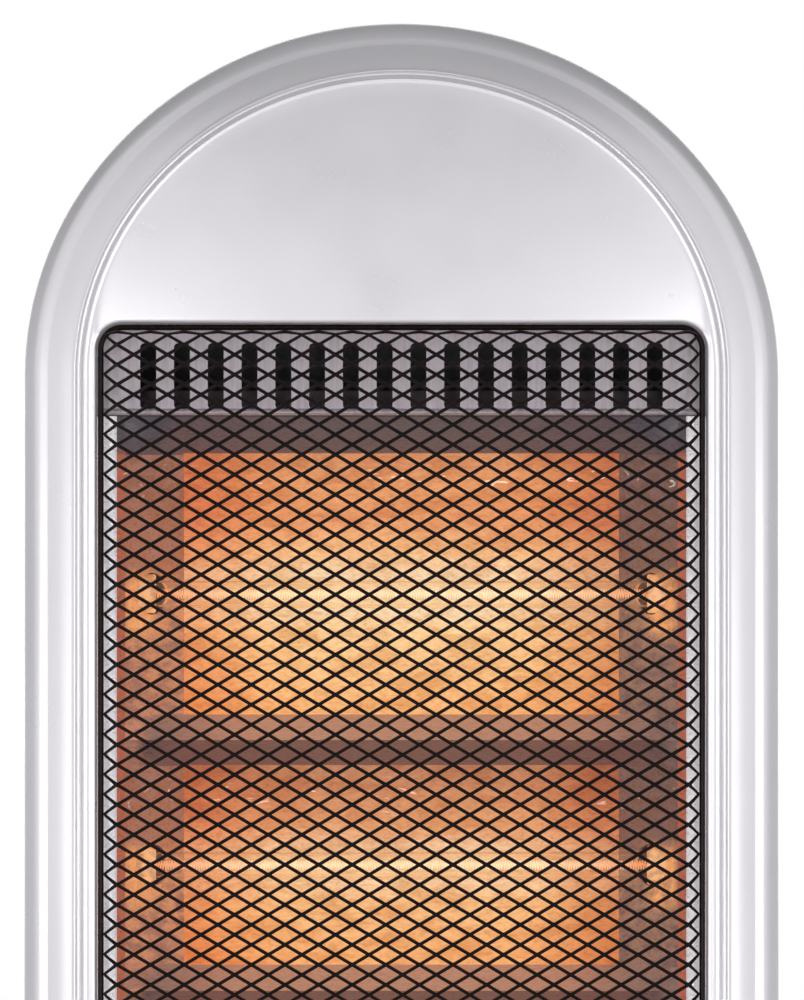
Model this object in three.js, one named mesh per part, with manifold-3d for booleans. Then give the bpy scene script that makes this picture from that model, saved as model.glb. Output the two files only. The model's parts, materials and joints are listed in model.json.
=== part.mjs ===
// Upright halogen heater: three quartz tubes behind an expanded-metal guard, in an arched
// casing that swings on a round base. Millimetres, +Z up, the front faces -Y, +X is to the
// viewer's right, and the origin lies on the floor under the middle of the base.
import * as THREE from 'three';
import { mergeVertices } from 'three/addons/utils/BufferGeometryUtils.js';
import Module from 'manifold-3d';

const wasm = await Module();
wasm.setup();

// ---- Clearances
const SEAM = 0.3; // between faces that meet
const RUNNING = 0.5; // round a shaft or button that moves

// ---- Base
const BASE_RADIUS = 145;
const BASE_HEIGHT = 50; // floor to the top of the collar
const BASE_WALL = 3;
const BASE_SIDES = 36;
const RIM_HEIGHT = 10; // upright part of the cover's edge
const RIM_ROLL = 9; // radius where the edge turns into the dome
const RIM_RISE = 2; // the dome's first rise above that roll
const COLLAR_RADIUS = 50;
const COLLAR_CHAMFER = [3, 2]; // width and height of the slope round the collar
const BOSS_WALL = 4.5; // of the boss that guides the neck
const BOSS_DEPTH = 6.6; // from the collar's top down to the turntable
const FOOT_HEIGHT = 4;
const FOOT_RADIUS = 10;
const FOOT_CIRCLE = 122;
const FOOT_COUNT = 4;
const PLATE_THICKNESS = 2;
const WEIGHT_INNER = 88;
const WEIGHT_OUTER = 126;
const WEIGHT_THICKNESS = 11;
const WEIGHT_OPENING = 60; // degrees left free for the cord
const GLAND_RADIUS = 6;
const GLAND_LENGTH = 16;
const GLAND_BORE = 3.6;

// ---- Neck and swing drive
const NECK_HEIGHT = 14.1;
const NECK_RADIUS = 43;
const NECK_FLARE = 3; // how much wider the foot of the neck is
const NECK_FOOT = 3; // height of that foot
const NECK_TAPER = 4; // height of the slope above it
const SPIGOT_RADIUS = 26;
const WIRE_BORE = 9;
const WASHER_THICKNESS = 1;
const TURNTABLE_RADIUS = 38;
const TURNTABLE_THICKNESS = 3.3;
const SWING = 30; // degrees to each side
const DRIVE_ARM = 24; // head axis to the drive pin
const LINK_LENGTH = 46; // between pin centres
const LINK_THICKNESS = 3;
const LINK_WIDTH = 11;
const PIN_RADIUS = 2;
const CRANK_THICKNESS = 3;
const MOTOR_RADIUS = 25;
const MOTOR_HEIGHT = 19;
const MOTOR_BOSS_RADIUS = 6;
const MOTOR_BOSS_HEIGHT = 2;
const SHAFT_RADIUS = 3.5;
const SHAFT_LENGTH = 2;

// ---- Tip-over switch
const TIP_SWITCH_PLACE = [-48, -42];
const TIP_SWITCH_SIZE = [26, 13, 19];
const PLUNGER_RADIUS = 3;
const PLUNGER_PAD_RADIUS = 6;
const PLUNGER_PAD_HEIGHT = 2;
const PLUNGER_LENGTH = 17;
const PLUNGER_REST_GAP = 3; // free stroke above the plunger inside the switch

// ---- Head casings
const SIDE_BAND = 26.1; // casing beside the window
const CHIN = 72; // casing below the window
const ARCH_RISE = 126.1; // height of the half ellipse on top
const FOOT_CORNER = 32; // radius of the two lower corners
const FACE_DEPTH = 50; // parting line forward to the face
const REAR_DEPTH = 48; // parting line back to the rear wall
const CASING_WALL = 2.5;
const FRONT_ROLL_WIDTH = 8; // rolled front edge, seen from the front
const FRONT_ROLL_DEPTH = 9;
const BEVEL_RISE = 4.6; // from the rolled edge forward to the embossed line
const EMBOSS_INSET = 20.2; // middle of the embossed line, at the sides
const EMBOSS_INSET_TOP = 19.5; // and at the top of the arch
const EMBOSS_WIDTH = 3.4;
const EMBOSS_DEPTH = 1.1;
const REAR_ROLL = 20;
const ARCH_STEPS = 15; // segments in each quarter of the arch
const CORNER_STEPS = 4;
const ROLL_STEPS = 3;

// ---- Window, guard and what lies behind it
const WINDOW_DROP = 107.7; // top of the arch to the window
const WINDOW_SIDE = 16.9; // window beside the tubes' ends
const VENT_STRIP = 33.1; // window above the reflector
const LOWER_STRIP = 9.6; // window below it
const WINDOW_CORNER = 9;
const WINDOW_LIP = 2.2; // rounding of the window's front edge
const LINER_DEPTH = 10; // face back to the panels behind the window
const FRAME_WIRE = 3.3; // wire round the guard
const FRAME_SETBACK = 1.2; // middle of that wire behind the face
const GUARD_BULGE = 4; // how far the guard stands before the face
const GUARD_BEND = 6;
const GUARD_EDGE = 2; // straight edge behind the bend
const BEND_STEPS = 3;
const GUARD_COLUMNS = 6;
const GUARD_ROWS = 16;
const STRAND_WIDTH = 2;
const STRAND_THICKNESS = 1.3;
const VENT_SLOTS = 16;
const VENT_PITCH = 12;
const VENT_SLOT_WIDTH = 5.4;
const VENT_SLOT_HEIGHT = 23;
const VENT_MARGIN = 1.4; // panel left under the slots
const PANEL_SHEET = 1.2;
const PANEL_LIP = 2.4; // depth of the folded lower edge
const LINER_OVERLAP = 3.2; // panels reach this far behind the casing
const TUBE_PITCH = 97.2;
const TUBE_LENGTH = 184;
const TUBE_RADIUS = 5.2;
const TUBE_WALL = 1;
const TUBE_DEPTH = 26; // face back to the tube's axis
const CAP_RADIUS = 7;
const CAP_LENGTH = 16;
const CAP_SOCKET = 4.3;
const FILAMENT_RADIUS = 0.9;
const FILAMENT_LOOP = 3.2; // radius of the loops that centre the filament
const FILAMENT_LOOPS = 3;
const FILAMENT_LOOP_THICKNESS = 0.8;
const RIDGE_SHIFT = 3.7; // ridges lie this much nearer to the middle tube
const RIDGE_SLOPE = 9.4; // height of the steep slope on each side of a ridge
const OUTER_TROUGH = 63.6; // outer tubes to the reflector's ends
const OUTER_SLOPE = 13.6; // height of the steep slope at those ends
const RIDGE_DEPTH = 13; // face back to the ridges
const TROUGH_SHOULDER = 19; // ridge back to the edge of the floor
const TROUGH_DEPTH = 28; // ridge back to the deepest line
const TROUGH_STEPS = 4; // segments across each floor
const FLANGE_WIDTH = 6.9; // side flanges, seen through the window
const FLANGE_SLOPE = 2.8; // width of the bend beside them
const END_WALL_WIDTH = 18.2; // slanted end walls, seen from the front
const BRACKET_SHEET = 1.2;
const SHIELD_MARGIN = 8; // heat shield to the casing's sides
const SHIELD_REACH = 9.2; // heat shield past the reflector's ends
const SHIELD_SHEET = 1.2;
const SHIELD_GAP = 2; // reflector's deepest line to the heat shield
const PILLAR_RADIUS = 4.5;
const PILLAR_SIDE = 12.1; // window's sides to the pillars
const PILLAR_INSET = 2.8; // pillars this far inside the reflector's ends
const CUTOUT_SIZE = [18, 7, 8];
const TERMINAL_SIZE = [44, 14, 16];

// ---- Rear casing details
const LOUVRE_WIDTH = 74;
const LOUVRE_HEIGHT = 5;
const LOUVRE_PITCH = 11;
const LOUVRE_GAP = 16; // between the two columns
const UPPER_LOUVRES = 5;
const LOWER_LOUVRES = 4;
const UPPER_LOUVRE_DROP = 150; // top of the arch to the first slot
const LOWER_LOUVRE_LIFT = 60; // foot of the casing to the lowest slot
const GRIP_WIDTH = 112;
const GRIP_HEIGHT = 30;
const GRIP_DEPTH = 26;
const GRIP_DROP = 74; // top of the arch to the grip's middle

// ---- Controls
const CONTROL_WIDTH = 150;
const CONTROL_HEIGHT = 36;
const CONTROL_CORNER = 8;
const CONTROL_LIFT = 44; // foot of the casing to the panel's middle
const CONTROL_RECESS = 0.6;
const CONTROL_SHEET = 2.4;
const CONTROL_FLANGE = 3.5; // overlap behind the casing
const KNOB_PLACE = -36;
const KNOB_RADIUS = 15;
const KNOB_HEIGHT = 15;
const KNOB_SKIRT = 3;
const KNOB_CHAMFER = [2, 1]; // width and depth of the slope round the skirt
const KNOB_GRIP_WIDTH = 7;
const KNOB_REST = 67.5; // degrees clockwise from upright: the highest setting
const SPINDLE_RADIUS = 3;
const SPINDLE_LENGTH = 20;
const SWITCH_SIZE = [30, 22, 30];
const BUTTON_PLACE = 42;
const BUTTON_RADIUS = 8;
const BUTTON_CHAMFER = 1;
const BUTTON_PROUD = 5;
const BUTTON_TRAVEL = 3;
const BUTTON_SWITCH_SIZE = [20, 18, 20];

// ---- Heights and depths that follow
const PLATE_BOTTOM = FOOT_HEIGHT + SEAM;
const PLATE_TOP = PLATE_BOTTOM + PLATE_THICKNESS;
const FLOOR_INSIDE = PLATE_TOP + SEAM;
const WASHER_BOTTOM = BASE_HEIGHT + SEAM;
const NECK_BOTTOM = WASHER_BOTTOM + WASHER_THICKNESS + SEAM;
const HEAD_BOTTOM = NECK_BOTTOM + NECK_HEIGHT + SEAM;
const FACE_Y = -FACE_DEPTH;
const LINER_Y = FACE_Y + LINER_DEPTH;
const RIDGE_Y = FACE_Y + RIDGE_DEPTH;
const TUBE_Y = FACE_Y + TUBE_DEPTH;
const SHIELD_Y = RIDGE_Y + TROUGH_DEPTH + PANEL_SHEET + SHIELD_GAP;
const TROUGH_HALF = TUBE_PITCH / 2 - RIDGE_SHIFT; // middle tube to each ridge
const TROUGH_END = TUBE_PITCH + OUTER_TROUGH; // middle tube to the reflector's ends
const WINDOW_WIDTH = TUBE_LENGTH + 2 * WINDOW_SIDE;
const WINDOW_HEIGHT = VENT_STRIP + 2 * TROUGH_END + LOWER_STRIP;
const WINDOW_BOTTOM = HEAD_BOTTOM + CHIN;
const WINDOW_TOP = WINDOW_BOTTOM + WINDOW_HEIGHT;
const HEAD_TOP = WINDOW_TOP + WINDOW_DROP;
const ARCH_CENTRE = HEAD_TOP - ARCH_RISE;
const REFLECTOR_TOP = WINDOW_TOP - VENT_STRIP;
const REFLECTOR_BOTTOM = WINDOW_BOTTOM + LOWER_STRIP;
const MIDDLE_TUBE_Z = (REFLECTOR_TOP + REFLECTOR_BOTTOM) / 2;
const FLANGE_HALF = WINDOW_WIDTH / 2 - FLANGE_WIDTH;
const END_WALL_TOP = FLANGE_HALF - FLANGE_SLOPE;
const END_WALL_FOOT = END_WALL_TOP - END_WALL_WIDTH;
const HEAD_WIDTH = WINDOW_WIDTH + 2 * SIDE_BAND;
const CONTROL_Z = HEAD_BOTTOM + CONTROL_LIFT;
const BOSS_RADIUS = SPIGOT_RADIUS + RUNNING + BOSS_WALL;
const TURNTABLE_TOP = BASE_HEIGHT - BOSS_DEPTH - SEAM;
const TURNTABLE_BOTTOM = TURNTABLE_TOP - TURNTABLE_THICKNESS;
const MOTOR_TOP = FLOOR_INSIDE + MOTOR_HEIGHT + MOTOR_BOSS_HEIGHT;
const CRANK_BOTTOM = MOTOR_TOP + SEAM + SHAFT_LENGTH;
const CRANK_TOP = CRANK_BOTTOM + CRANK_THICKNESS;
const LINK_BOTTOM = CRANK_TOP + SEAM;
const LINK_TOP = LINK_BOTTOM + LINK_THICKNESS;

// ---- The drive: the crank's throw gives the swing, and the link keeps its direction, so its
// far pin runs on the crank's circle and needs a long eye in the turntable.
const swingAngle = THREE.MathUtils.degToRad(SWING);
const CRANK_THROW = DRIVE_ARM * Math.sin(swingAngle);
const armDrop = DRIVE_ARM * (1 - Math.cos(swingAngle));
const PIN_STRAY = (CRANK_THROW - armDrop) / 2;
const PIN_SIDE_STRAY = CRANK_THROW * Math.SQRT1_2 - DRIVE_ARM * Math.sin(swingAngle / 2);
const DRIVE_PIN = [0, DRIVE_ARM + PIN_STRAY];
const CRANK_PIN = [LINK_LENGTH, DRIVE_PIN[1]];
const CRANK_AXIS = [LINK_LENGTH, CRANK_PIN[1] - CRANK_THROW];

// ---- Materials
const finish = (color, roughness, metalness, extra = {}) => new THREE.MeshStandardMaterial({
  color, roughness, metalness, flatShading: true, ...extra,
});
const silver = finish(0xd4d3d6, 0.35, 0.4);
const guardBlack = finish(0x17141a, 0.45, 0.5);
const brightSheet = finish(0xd9cfc4, 0.3, 0.9);
const satinSheet = finish(0xa9a5a9, 0.4, 0.8);
const zincSheet = finish(0x9a9d9f, 0.5, 0.8);
const quartz = finish(0xffe6c4, 0.05, 0, { transparent: true, opacity: 0.6 });
const glowing = finish(0xffb060, 0.6, 0, { emissive: 0xff8a30 });
const ceramic = finish(0xf0e6d6, 0.7, 0);
const darkPlastic = finish(0x232326, 0.5, 0);
const paleNylon = finish(0xdcd8cc, 0.6, 0);
const motorSteel = finish(0x8f9194, 0.4, 0.9);
const castIron = finish(0x4b4b4d, 0.8, 0.6);
const rubber = finish(0x1b1b1b, 0.9, 0);

// ---- Helpers: solids
function signedVolume(geometry) {
  const position = geometry.attributes.position;
  const index = geometry.index;
  const corner = [0, 1, 2].map(() => new THREE.Vector3());
  let volume = 0;
  for (let i = 0; i < index.count; i += 3) {
    corner.forEach((point, k) => point.fromBufferAttribute(position, index.getX(i + k)));
    volume += corner[0].dot(corner[1].cross(corner[2])) / 6;
  }
  return volume;
}

// Keeps only positions, merges the shared corners and turns the faces outward.
function solid(geometry) {
  const bare = geometry.index ? geometry.clone() : geometry;
  bare.deleteAttribute('normal');
  bare.deleteAttribute('uv');
  const merged = mergeVertices(bare, 1e-4);
  const triangles = [];
  for (let i = 0; i < merged.index.count; i += 3) {
    const [a, b, c] = [0, 1, 2].map((k) => merged.index.getX(i + k));
    if (a !== b && b !== c && a !== c) triangles.push(a, b, c);
  }
  merged.setIndex(triangles);
  if (signedVolume(merged) < 0) merged.setIndex(triangles.reverse());
  merged.computeVertexNormals();
  return merged;
}

function manifoldOf(geometry) {
  const shape = solid(geometry);
  const vertProperties = new Float32Array(shape.attributes.position.array);
  const triVerts = new Uint32Array(shape.index.array);
  return new wasm.Manifold(new wasm.Mesh({ numProp: 3, vertProperties, triVerts }));
}

function geometryOf(manifold) {
  const mesh = manifold.getMesh();
  const geometry = new THREE.BufferGeometry();
  geometry.setAttribute('position', new THREE.BufferAttribute(new Float32Array(mesh.vertProperties), 3));
  geometry.setIndex(new THREE.BufferAttribute(new Uint32Array(mesh.triVerts), 1));
  return geometry;
}

function cut(geometry, tools) {
  const left = tools.reduce((body, tool) => body.subtract(manifoldOf(tool)), manifoldOf(geometry));
  return geometryOf(left);
}

function join(geometry, additions) {
  const whole = additions.reduce((body, piece) => body.add(manifoldOf(piece)), manifoldOf(geometry));
  return geometryOf(whole);
}

function box([width, depth, height], [x, y, z]) {
  return new THREE.BoxGeometry(width, depth, height).translate(x, y, z);
}

// A cylinder from one height, depth or side to another along the named axis.
function rod(axis, radius, from, to, [across, up], sides = 16) {
  const geometry = new THREE.CylinderGeometry(radius, radius, to - from, sides);
  const middle = (from + to) / 2;
  if (axis === 'x') return geometry.rotateZ(-Math.PI / 2).translate(middle, across, up);
  if (axis === 'y') return geometry.translate(across, middle, up);
  return geometry.rotateX(Math.PI / 2).translate(across, up, middle);
}

// A turned piece: the profile's points are [radius, place along the axis].
function turned(axis, profile, sides) {
  const points = profile.map(([radius, along]) => new THREE.Vector2(radius, along));
  const geometry = new THREE.LatheGeometry(points, sides);
  if (axis === 'x') return geometry.rotateZ(-Math.PI / 2);
  if (axis === 'z') return geometry.rotateX(Math.PI / 2);
  return geometry;
}

function closed(profile) {
  return [...profile, profile[0]];
}

// Skins a row of rings that have the same number of points. A closed row ends where it
// began, and an open one is capped at both ends by a fan about the ring's middle.
function skin(rings, isClosed) {
  const count = rings[0].length;
  const points = rings.flat();
  const triangles = [];
  const spans = isClosed ? rings.length : rings.length - 1;
  for (let r = 0; r < spans; r += 1) {
    const next = (r + 1) % rings.length;
    for (let k = 0; k < count; k += 1) {
      const [a, b] = [r * count + k, r * count + ((k + 1) % count)];
      const [c, d] = [next * count + k, next * count + ((k + 1) % count)];
      triangles.push(a, b, d, a, d, c);
    }
  }
  const fan = (ring, start, ascending) => {
    const middle = points.length;
    const sum = ring.reduce((total, point) => total.add(point), new THREE.Vector3());
    points.push(sum.divideScalar(count));
    for (let k = 0; k < count; k += 1) {
      const pair = [start + k, start + ((k + 1) % count)];
      triangles.push(middle, ...(ascending ? pair : pair.reverse()));
    }
  };
  if (!isClosed) {
    fan(rings[0], 0, false);
    fan(rings[rings.length - 1], (rings.length - 1) * count, true);
  }
  const geometry = new THREE.BufferGeometry().setFromPoints(points);
  geometry.setIndex(triangles);
  return geometry;
}

// A sheet made of flat polygons, each a list of keys in one turning direction: a front skin,
// a back skin, and a wall along every edge that only one polygon has.
function sheet(polygons, front, back) {
  const keys = [...new Set(polygons.flat())];
  const slot = new Map(keys.map((key, place) => [key, place]));
  const points = [...keys.map(front), ...keys.map(back)];
  const behind = keys.length;
  const edges = new Map();
  const triangles = [];
  polygons.forEach((polygon) => {
    const ring = polygon.map((key) => slot.get(key));
    for (let k = 1; k < ring.length - 1; k += 1) {
      triangles.push(ring[0], ring[k], ring[k + 1]);
      triangles.push(behind + ring[0], behind + ring[k + 1], behind + ring[k]);
    }
    ring.forEach((from, k) => edges.set(`${from} ${ring[(k + 1) % ring.length]}`, true));
  });
  edges.forEach((_, edge) => {
    const [from, to] = edge.split(' ').map(Number);
    if (edges.has(`${to} ${from}`)) return;
    triangles.push(from, behind + to, to, from, behind + from, behind + to);
  });
  const geometry = new THREE.BufferGeometry().setFromPoints(points);
  geometry.setIndex(triangles);
  return geometry;
}

// An outline drawn in X and Z, thickened from one depth to another.
function slab(shape, fromY, toY, steps = 4) {
  const geometry = new THREE.ExtrudeGeometry(shape, {
    depth: toY - fromY, bevelEnabled: false, curveSegments: steps,
  });
  return geometry.rotateX(Math.PI / 2).scale(1, -1, 1).translate(0, fromY, 0);
}

// An outline drawn in X and Y, thickened from one height to another.
function layer(shape, fromZ, toZ, steps = 6) {
  const geometry = new THREE.ExtrudeGeometry(shape, {
    depth: toZ - fromZ, bevelEnabled: false, curveSegments: steps,
  });
  return geometry.translate(0, 0, fromZ);
}

// With the radius at half its width, it is a slot whose round ends keep a hair of straight edge.
function roundedRectangle(width, height, wantedRadius, [x, y] = [0, 0], PathClass = THREE.Shape) {
  const hair = 0.01;
  const radius = Math.min(wantedRadius, width / 2 - hair, height / 2 - hair);
  const [w, h] = [width / 2 - radius, height / 2 - radius];
  const path = new PathClass();
  path.absarc(x + w, y - h, radius, -Math.PI / 2, 0);
  path.absarc(x + w, y + h, radius, 0, Math.PI / 2);
  path.absarc(x - w, y + h, radius, Math.PI / 2, Math.PI);
  path.absarc(x - w, y - h, radius, Math.PI, Math.PI * 1.5);
  path.closePath();
  return path;
}

function rectangle(width, height, [x, y], PathClass = THREE.Shape) {
  const [w, h] = [width / 2, height / 2];
  const corners = [[-w, -h], [w, -h], [w, h], [-w, h]];
  return new PathClass(corners.map(([dx, dy]) => new THREE.Vector2(x + dx, y + dy)));
}

function circle(radius, [x, y] = [0, 0], PathClass = THREE.Shape) {
  return new PathClass().absarc(x, y, radius, 0, Math.PI * 2);
}

// ---- Helpers: the head's two outlines, as rings that run from the middle of the top to
// the viewer's left, down, and back up on the right. Their points answer one to one.
const quarter = Math.PI / 2;

function mirroredRing(left, y) {
  const right = left.slice(1, -1).reverse().map(([x, z]) => [-x, z]);
  return [...left, ...right].map(([x, z]) => new THREE.Vector3(x, y, z));
}

function arc([x, z], radiusX, radiusZ, from, steps) {
  return Array.from({ length: steps + 1 }, (_, k) => {
    const angle = from + (quarter * k) / steps;
    return [x + radiusX * Math.cos(angle), z + radiusZ * Math.sin(angle)];
  });
}

function casingRing(inset, y) {
  const halfWidth = HEAD_WIDTH / 2 - inset;
  const rise = ARCH_RISE - (inset * EMBOSS_INSET_TOP) / EMBOSS_INSET;
  const bottom = HEAD_BOTTOM + inset;
  const corner = Math.max(FOOT_CORNER - inset, CORNER_STEPS);
  const left = [
    ...arc([0, ARCH_CENTRE], halfWidth, rise, quarter, ARCH_STEPS),
    ...arc([corner - halfWidth, bottom + corner], corner, corner, 2 * quarter, CORNER_STEPS),
    [0, bottom],
  ];
  left[0][0] = 0;
  return mirroredRing(left, y);
}

// A positive inset lies inside the window, whose corners sharpen with it.
function windowRing(inset, y) {
  const halfWidth = WINDOW_WIDTH / 2 - inset;
  const corner = Math.max(WINDOW_CORNER - inset, SEAM);
  const [top, bottom] = [WINDOW_TOP - inset, WINDOW_BOTTOM + inset];
  const topSteps = ARCH_STEPS - CORNER_STEPS;
  const topEdge = Array.from({ length: topSteps }, (_, k) => [((corner - halfWidth) * k) / topSteps, top]);
  return mirroredRing([
    ...topEdge,
    ...arc([corner - halfWidth, top - corner], corner, corner, quarter, CORNER_STEPS),
    ...arc([corner - halfWidth, bottom + corner], corner, corner, 2 * quarter, CORNER_STEPS),
    [0, bottom],
  ], y);
}

// Points on a quarter roll, as [inset, y], from the side wall to the face it turns into.
function roll(width, wallY, faceY, steps) {
  return Array.from({ length: steps + 1 }, (_, k) => {
    const angle = (quarter * k) / steps;
    return [width * (1 - Math.cos(angle)), wallY + (faceY - wallY) * Math.sin(angle)];
  });
}

// ---- Head: casings
function pillar(fromY, toY, [x, z]) {
  return rod('y', PILLAR_RADIUS, fromY, toY, [x, z], 10);
}

function pillarPlaces() {
  const [x, z] = [WINDOW_WIDTH / 2 + PILLAR_SIDE, TROUGH_END - PILLAR_INSET];
  return [[-x, z], [x, z], [-x, -z], [x, -z]].map(([px, pz]) => [px, MIDDLE_TUBE_Z + pz]);
}

function wireWay() {
  return rod('z', WIRE_BORE, HEAD_BOTTOM - 1, HEAD_BOTTOM + FOOT_CORNER, [0, 0], 12);
}

function frontCasing() {
  const bevelY = FACE_Y + BEVEL_RISE;
  const bevelEnd = EMBOSS_INSET - EMBOSS_WIDTH / 2;
  const bevelMiddle = (FRONT_ROLL_WIDTH + bevelEnd) / 2;
  const grooveY = FACE_Y + EMBOSS_DEPTH;
  const inner = FACE_Y + CASING_WALL;
  const outside = [
    [0, -SEAM / 2],
    ...roll(FRONT_ROLL_WIDTH, bevelY + FRONT_ROLL_DEPTH, bevelY, ROLL_STEPS),
    [bevelMiddle, FACE_Y + BEVEL_RISE / 3],
    [bevelEnd, FACE_Y + EMBOSS_DEPTH / 3],
    [EMBOSS_INSET - EMBOSS_WIDTH / 5, grooveY],
    [EMBOSS_INSET + EMBOSS_WIDTH / 5, grooveY],
    [EMBOSS_INSET + EMBOSS_WIDTH / 2, FACE_Y],
  ];
  const lip = [
    [-WINDOW_LIP, FACE_Y],
    [-WINDOW_LIP / 3, FACE_Y + WINDOW_LIP / 4],
    [0, FACE_Y + WINDOW_LIP],
    [0, LINER_Y - SEAM],
    [-CASING_WALL, LINER_Y - SEAM],
    [-CASING_WALL, inner],
  ];
  const inside = [
    [EMBOSS_INSET + EMBOSS_WIDTH / 2, inner],
    [FRONT_ROLL_WIDTH + CASING_WALL, bevelY + CASING_WALL],
    [CASING_WALL, bevelY + FRONT_ROLL_DEPTH],
    [CASING_WALL, -SEAM / 2],
  ];
  const shell = skin([
    ...outside.map(([inset, y]) => casingRing(inset, y)),
    ...lip.map(([inset, y]) => windowRing(inset, y)),
    ...inside.map(([inset, y]) => casingRing(inset, y)),
  ], true);
  const [width, height] = [CONTROL_WIDTH + 2 * SEAM, CONTROL_HEIGHT + 2 * SEAM];
  const aperture = roundedRectangle(width, height, CONTROL_CORNER + SEAM, [0, CONTROL_Z]);
  const pillars = pillarPlaces().map((place) => pillar(bevelY, SHIELD_Y - SEAM, place));
  return cut(join(shell, pillars), [slab(aperture, FACE_Y - 1, inner + 1), wireWay()]);
}

function louvres() {
  const columns = [-1, 1].map((side) => (side * (LOUVRE_WIDTH + LOUVRE_GAP)) / 2);
  const row = (start, pitch, length) => Array.from({ length }, (_, k) => start + k * pitch);
  const upper = row(HEAD_TOP - UPPER_LOUVRE_DROP, -LOUVRE_PITCH, UPPER_LOUVRES);
  const lower = row(HEAD_BOTTOM + LOWER_LOUVRE_LIFT, LOUVRE_PITCH, LOWER_LOUVRES);
  return [...upper, ...lower].flatMap((z) => columns.map((x) => (
    box([LOUVRE_WIDTH, 4 * CASING_WALL, LOUVRE_HEIGHT], [x, REAR_DEPTH - CASING_WALL / 2, z])
  )));
}

function handGrip(growth, fromY, toY) {
  const height = GRIP_HEIGHT + 2 * growth;
  const shape = roundedRectangle(GRIP_WIDTH + 2 * growth, height, height / 2, [0, HEAD_TOP - GRIP_DROP]);
  return slab(shape, fromY, toY);
}

function rearCasing() {
  const outside = roll(REAR_ROLL, REAR_DEPTH - REAR_ROLL, REAR_DEPTH, ROLL_STEPS);
  const inside = [
    [REAR_ROLL, REAR_DEPTH - CASING_WALL],
    [REAR_ROLL / 3 + CASING_WALL, REAR_DEPTH - REAR_ROLL / 3 - CASING_WALL],
    [CASING_WALL, REAR_DEPTH - REAR_ROLL],
    [CASING_WALL, SEAM / 2],
  ];
  const rows = [...outside.reverse(), [0, SEAM / 2], ...inside.reverse()];
  const shell = skin(rows.map(([inset, y]) => casingRing(inset, y)), false);
  const pillars = pillarPlaces().map((place) => (
    pillar(SHIELD_Y + SHIELD_SHEET + SEAM, REAR_DEPTH - REAR_ROLL / 4, place)
  ));
  const cup = handGrip(CASING_WALL, REAR_DEPTH - GRIP_DEPTH - CASING_WALL, REAR_DEPTH - CASING_WALL / 2);
  const hollow = handGrip(0, REAR_DEPTH - GRIP_DEPTH, REAR_DEPTH + 1);
  return cut(join(shell, [...pillars, cup]), [hollow, ...louvres(), wireWay()]);
}

// ---- Head: the guard. Openings sit where column and row add up to an odd number, and the
// knuckles that join the strands where they add up to an even one.
const WINDOW_MIDDLE = (WINDOW_TOP + WINDOW_BOTTOM) / 2;
const EDGE_INSET = 2 * SEAM + FRAME_WIRE; // from the window's sides to the guard's bent edge
const BEND_INSET = EDGE_INSET + GUARD_BEND; // and to where the guard starts to bend back

function guard() {
  const reach = [WINDOW_WIDTH, WINDOW_HEIGHT].map((size) => size / 2 - BEND_INSET - SEAM);
  const rough = [reach[0] / GUARD_COLUMNS, reach[1] / GUARD_ROWS];
  const strandShare = (STRAND_WIDTH * Math.hypot(...rough)) / (2 * rough[0] * rough[1]);
  const half = [reach[0] / (GUARD_COLUMNS + strandShare), reach[1] / (GUARD_ROWS + strandShare)];
  const [lastColumn, lastRow] = [2 * GUARD_COLUMNS, 2 * GUARD_ROWS];
  const isOpening = (i, j) => i > 0 && j > 0 && i < lastColumn && j < lastRow;
  const corners = { right: [1, 0], top: [0, 1], left: [-1, 0], bottom: [0, -1] };
  const place = (key, y) => {
    const [i, j, corner] = key.split(' ');
    const [side, rise] = corners[corner].map((value) => value * (1 - strandShare));
    const [x, z] = [(Number(i) - GUARD_COLUMNS + side) * half[0], (Number(j) - GUARD_ROWS + rise) * half[1]];
    return new THREE.Vector3(x, y, WINDOW_MIDDLE + z);
  };
  const polygons = [];
  for (let i = 0; i <= lastColumn; i += 1) {
    for (let j = i % 2; j <= lastRow; j += 2) {
      const [above, below] = [isOpening(i, j + 1), isOpening(i, j - 1)];
      const [before, after] = [isOpening(i - 1, j), isOpening(i + 1, j)];
      const [east, west] = [`${i + 1} ${j} left`, `${i - 1} ${j} right`];
      const [north, south] = [`${i} ${j + 1} bottom`, `${i} ${j - 1} top`];
      if (above || below || before || after) polygons.push([east, north, west, south]);
      if (above || after) polygons.push([east, `${i + 1} ${j} top`, `${i} ${j + 1} right`, north]);
      if (below || after) polygons.push([south, `${i} ${j - 1} right`, `${i + 1} ${j} bottom`, east]);
    }
  }
  const front = FACE_Y - GUARD_BULGE;
  return sheet(polygons, (key) => place(key, front), (key) => place(key, front + STRAND_THICKNESS));
}

// The guard's edge turns back all round, towards the frame wire.
function guardEdge() {
  const centreY = FACE_Y - GUARD_BULGE + GUARD_BEND;
  const bend = (radius) => Array.from({ length: BEND_STEPS + 1 }, (_, k) => {
    const angle = (quarter * k) / BEND_STEPS;
    return [BEND_INSET - radius * Math.sin(angle), centreY - radius * Math.cos(angle)];
  });
  const inside = GUARD_BEND - STRAND_THICKNESS;
  const profile = [
    ...bend(GUARD_BEND), [EDGE_INSET, centreY + GUARD_EDGE],
    [EDGE_INSET + STRAND_THICKNESS, centreY + GUARD_EDGE], ...bend(inside).reverse(),
  ];
  return skin(profile.map(([inset, y]) => windowRing(inset, y)), true);
}

function guardFrame() {
  const rings = Array.from({ length: 6 }, (_, k) => {
    const angle = (Math.PI / 3) * k;
    const inset = SEAM + (FRAME_WIRE / 2) * (1 - Math.cos(angle));
    return windowRing(inset, FACE_Y + FRAME_SETBACK + (FRAME_WIRE / 2) * Math.sin(angle));
  });
  return skin(rings, true);
}

// ---- Head: the panels and the reflector behind the window
const linerHalf = WINDOW_WIDTH / 2 + LINER_OVERLAP;

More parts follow.
